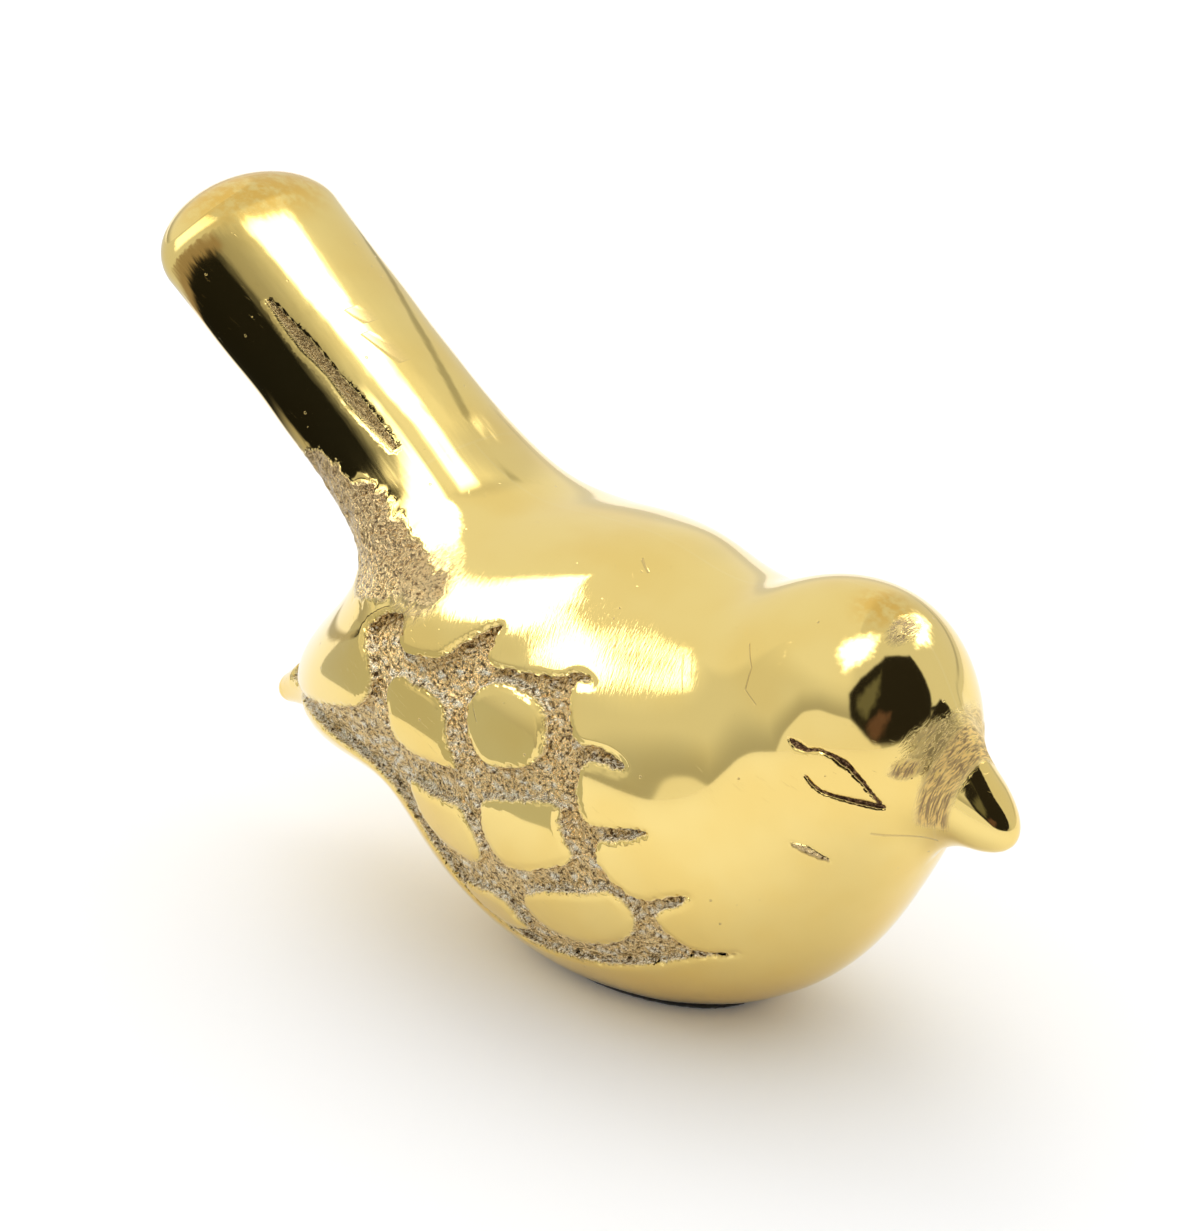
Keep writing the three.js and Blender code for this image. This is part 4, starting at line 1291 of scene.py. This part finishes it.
@dataclass
class Studio:
    """The white table, the soft light and the camera, all placed in mm."""

    aim: tuple[float, float, float] = (1.3256, -11.1438, 39.5453)
    azimuth: float = 40.4886
    elevation: float = 22.9421
    roll: float = 2.4876
    distance: float = 437.854
    lens_pixels: float = 4795.61
    frame_width: float = 1200.0
    sensor: float = 36.0
    table_reach: float = 6000.0
    table_white: float = 0.92
    table_lift: float = 0.04
    sky: float = 0.69
    sky_slant: float = 0.82
    sky_way: tuple[float, float, float] = (-0.61, 0.35, 0.71)
    lamp_power: float = 2.5
    lamp_size: float = 900.0
    lamp_at: tuple[float, float, float] = (-796.0, 460.0, 919.0)
    low_wall: float = 0.45
    wall: float = 0.74
    upper_wall: float = 0.88
    hump: Opening = Opening(((-7.0, -4.0), (62.0, -4.0), (61.0, 1.0), (49.0, 9.0), (34.0, 17.5),
                             (6.0, 19.5), (-4.5, 16.5), (-8.0, 8.0)), (0.92, 0.92, 0.91), 0.6, corner=2.5)
    openings: tuple[Opening, ...] = (
        Opening(((54.0, 3.0), (72.0, 0.5), (92.0, 0.5), (108.0, 7.0), (114.0, 20.0), (116.0, 36.0),
                 (118.0, 49.0), (100.0, 57.0), (81.0, 61.0), (57.0, 55.0), (39.0, 45.5), (30.0, 34.0),
                 (34.0, 18.0)), (0.02, 0.018, 0.016), 1.5, ragged=2.0),
        Opening(((47.0, 18.0), (54.0, 27.0), (62.0, 47.0), (49.0, 40.0), (39.0, 32.0), (38.0, 25.0)),
                (0.15, 0.15, 0.11), 3.0, ragged=8.0),
        Opening(((56.0, 4.0), (60.0, 8.0), (68.0, 18.0), (57.0, 20.0), (47.0, 13.0)),
                (0.13, 0.075, 0.065), 2.5, ragged=8.0),
        Opening(((-2.7, 16.8), (12.0, -6.0), (22.7, 12.6), (20.0, 27.5), (13.3, 38.8), (-2.4, 26.9)),
                (5.0, 5.0, 4.8), 5.0, True, 6.0, 12.0),
        Opening(((-7.8, -63.5), (-1.2, -68.0), (25.4, -52.1), (29.9, -30.9), (14.0, -36.4)),
                (5.0, 5.0, 4.8), 4.5, True, 6.0, 12.0),
    )
    reflectors: tuple[Reflector, ...] = (
        Reflector("window_card", (-25.4, -30.8, 78.2), -25.6, 57.0, (
            (-18.0, 38.0), (-44.0, 22.0), (-32.0, 2.0), (-28.0, -11.0), (-17.0, -16.0), (0.0, -21.0),
            (11.5, -18.0), (13.3, -27.0), (18.0, -22.0), (20.0, -5.0), (11.0, 1.5), (9.0, 9.0),
            (-7.0, 20.0)), 43.0, 54.5, 3.0, (4.5, 4.5, 4.3), 4.6),
        Reflector("wing_shade", (-39.5, -36.0, 0.0), -34.7, 0.0, (
            (-44.0, 36.0), (-44.0, 14.0), (-24.0, 12.5), (4.0, 11.5), (12.0, 9.0), (20.0, 5.5),
            (28.0, 4.0), (37.0, 3.0), (37.0, 36.0)), 14.0, 66.0, 2.0, (0.55, 0.56, 0.53), 1.6),
    )

    def camera(self) -> bpy.types.Object:
        """Sets up the camera that sees the bird's right side, front and top."""
        a, roll = math.radians(self.azimuth), math.radians(self.roll)
        back = heading(self.azimuth, self.elevation)
        right = Vector((math.cos(a), math.sin(a), 0.0))
        up = back.cross(right)
        right, up = (math.cos(roll) * right + math.sin(roll) * up,
                     math.cos(roll) * up - math.sin(roll) * right)
        lens = bpy.data.cameras.new("camera")
        lens.sensor_fit = "HORIZONTAL"
        lens.sensor_width = self.sensor
        lens.lens = self.lens_pixels / self.frame_width * self.sensor
        lens.clip_start, lens.clip_end = 0.01, 20.0
        camera = add_object("camera", lens)
        turned = Matrix((right, up, back)).transposed().to_4x4()
        camera.matrix_world = Matrix.Translation((Vector(self.aim) + self.distance * back) * MM) @ turned
        bpy.context.scene.camera = camera
        return camera

    def table(self) -> bpy.types.Object:
        """Lays the white table, which keeps the bird's shadow."""
        mesh = bpy.data.meshes.new("table")
        reach = self.table_reach * MM
        corners = [(-reach, -reach, 0), (reach, -reach, 0), (reach, reach, 0), (-reach, reach, 0)]
        mesh.from_pydata(corners, [], [(0, 1, 2, 3)])
        table = add_object("table", mesh)
        material, r = new_material("table_white")
        paper = r.noise(r.place(), 2.0, 3.0)
        white = r.blend(paper, (self.table_white,) * 3, (self.table_white * 0.995,) * 3)
        lifted = r.ray("Is Camera Ray", "Is Transmission Ray") + r.ray("Is Glossy Ray") * 0.1
        r.surface({"Base Color": white, "Roughness": 0.8, "Specular IOR Level": 0.1,
                   "Emission Color": (1.0, 1.0, 1.0), "Emission Strength": lifted * self.table_lift})
        mesh.materials.append(material)
        return table

    def lamp(self) -> bpy.types.Object:
        """Hangs the wide soft lamp behind and above the bird."""
        light = bpy.data.lights.new("soft_lamp", "AREA")
        light.shape = "DISK"
        light.size = self.lamp_size * MM
        light.energy = self.lamp_power
        lamp = add_object("soft_lamp", light)
        lamp.location = Vector(self.lamp_at) * MM
        lamp.rotation_euler = lamp.location.to_track_quat("Z", "Y").to_euler()
        lamp.visible_glossy = False
        return lamp

    def room(self) -> None:
        """Paints the room that the brass reflects: pale walls, a dark doorway and two windows."""
        world = bpy.data.worlds.new("room")
        bpy.context.scene.world = world
        world.use_nodes = True
        r = Recipe(world.node_tree)
        way = r.node("ShaderNodeTexCoord", {}, {}, "Generated")
        dx, dy, dz = r.parts(way)
        degrees = 180.0 / math.pi
        high = dz.math("ARCSINE", dz) * degrees
        turn = dx.math("ARCTAN2", dx, dy * -1.0)
        about = turn * degrees
        level = r.node("ShaderNodeCombineXYZ", {}, {0: about, 1: high, 2: 1.0})
        down = 90.0 - high
        zenith = r.node("ShaderNodeCombineXYZ", {}, {
            0: turn.math("SINE", turn) * down, 1: turn.math("COSINE", turn) * down, 2: 1.0})
        hump = self.hump.inside(r, level, zenith)
        skyline = high.least(hump * -1.0)
        behind = abs(about).rise(95.0, 125.0)
        wall = self.low_wall + skyline.rise(0.0, 16.0).most(behind) * (self.wall - self.low_wall)
        back_left = about.between(-150.0, -66.0, 12.0) * high.rise(3.0, 12.0)
        front_top = about.between(-66.0, 25.0, 12.0) * high.rise(28.0, 45.0)
        wall = wall + back_left.most(front_top) * (self.upper_wall - self.wall)
        rail = abs(about).rise(150.0, 168.0) * high.between(-1.0, 9.0, 2.0) * abs(high - 6.0).rise(2.2, 0.6)
        wall = wall * (1.0 - rail * 0.35)
        light = r.grey(wall, 0.96)
        light = r.blend(hump.rise(-self.hump.soft, self.hump.soft), light, self.hump.light)
        for opening in self.openings:
            share = opening.inside(r, level, zenith).rise(-opening.soft, opening.soft)
            share = share ** 2.5 if opening.overhead else share
            light = r.blend(share, light, opening.light)
        soft = r.grey((r.dot(way, self.sky_way) * self.sky_slant + self.sky).most(0.05))
        light = r.blend(r.ray("Is Glossy Ray"), soft, light)
        light = r.blend(r.ray("Is Camera Ray", "Is Transmission Ray"), light, (1.0, 1.0, 1.0))
        shine = r.node("ShaderNodeBackground", {}, {"Color": light, "Strength": 1.0})
        r.node("ShaderNodeOutputWorld", {}, {"Surface": shine})


def main() -> None:
    """Builds the bird, its foot and the studio, and reports each piece."""
    logging.basicConfig(level=logging.INFO, format="%(name)s %(message)s")
    scene = bpy.context.scene
    scene.view_settings.view_transform = "Standard"
    studio = Studio()
    studio.camera()
    studio.table()
    studio.lamp()
    for reflector in (*studio.reflectors, TailTent()):
        reflector.build()
    studio.room()
    skin = BirdSkin()
    net = SkinNet(skin)
    points, faces = net.cast()
    log.info("skin: %d points, %d faces", len(points), len(faces))
    pieces = Foundry(skin, points, faces).castings()
    brass = BrassFinish("polished_brass").make()
    braze = BrassFinish("braze", bright=(0.93, 0.73, 0.29), warm=(0.90, 0.68, 0.24)).make()
    stands_for = {
        "polished_right_half": ("right_body_half",),
        "polished_left_half": ("left_body_half",),
        "seam_braze": ("front_seam_braze", "rear_seam_braze"),
        "polished_tail": ("tail",),
        "tail_joint_braze": ("tail_braze",),
        "polished_beak": ("beak",),
        "beak_joint_braze": ("beak_braze",),
    }
    for name, nodes in stands_for.items():
        is_braze = name.endswith("braze")
        pieces[name].data.materials.append(braze if is_braze else brass)
        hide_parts(*nodes)
    foot = FeltFoot().build()
    foot.data.materials.append(FeltFinish("felt").make())
    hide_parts("felt_pad")
    plug = BrassFinish("rough_brass", polish=0.3, bright=(0.70, 0.52, 0.2), warm=(0.62, 0.43, 0.16)).make()
    for node, material in (("core_plug", plug), ("pad_glue", GlueFinish("pad_glue").make())):
        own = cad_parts[node]
        own.data.materials.clear()
        own.data.materials.append(material)
        log.info("%s keeps its shape", node)


if __name__ == "__main__":
    main()
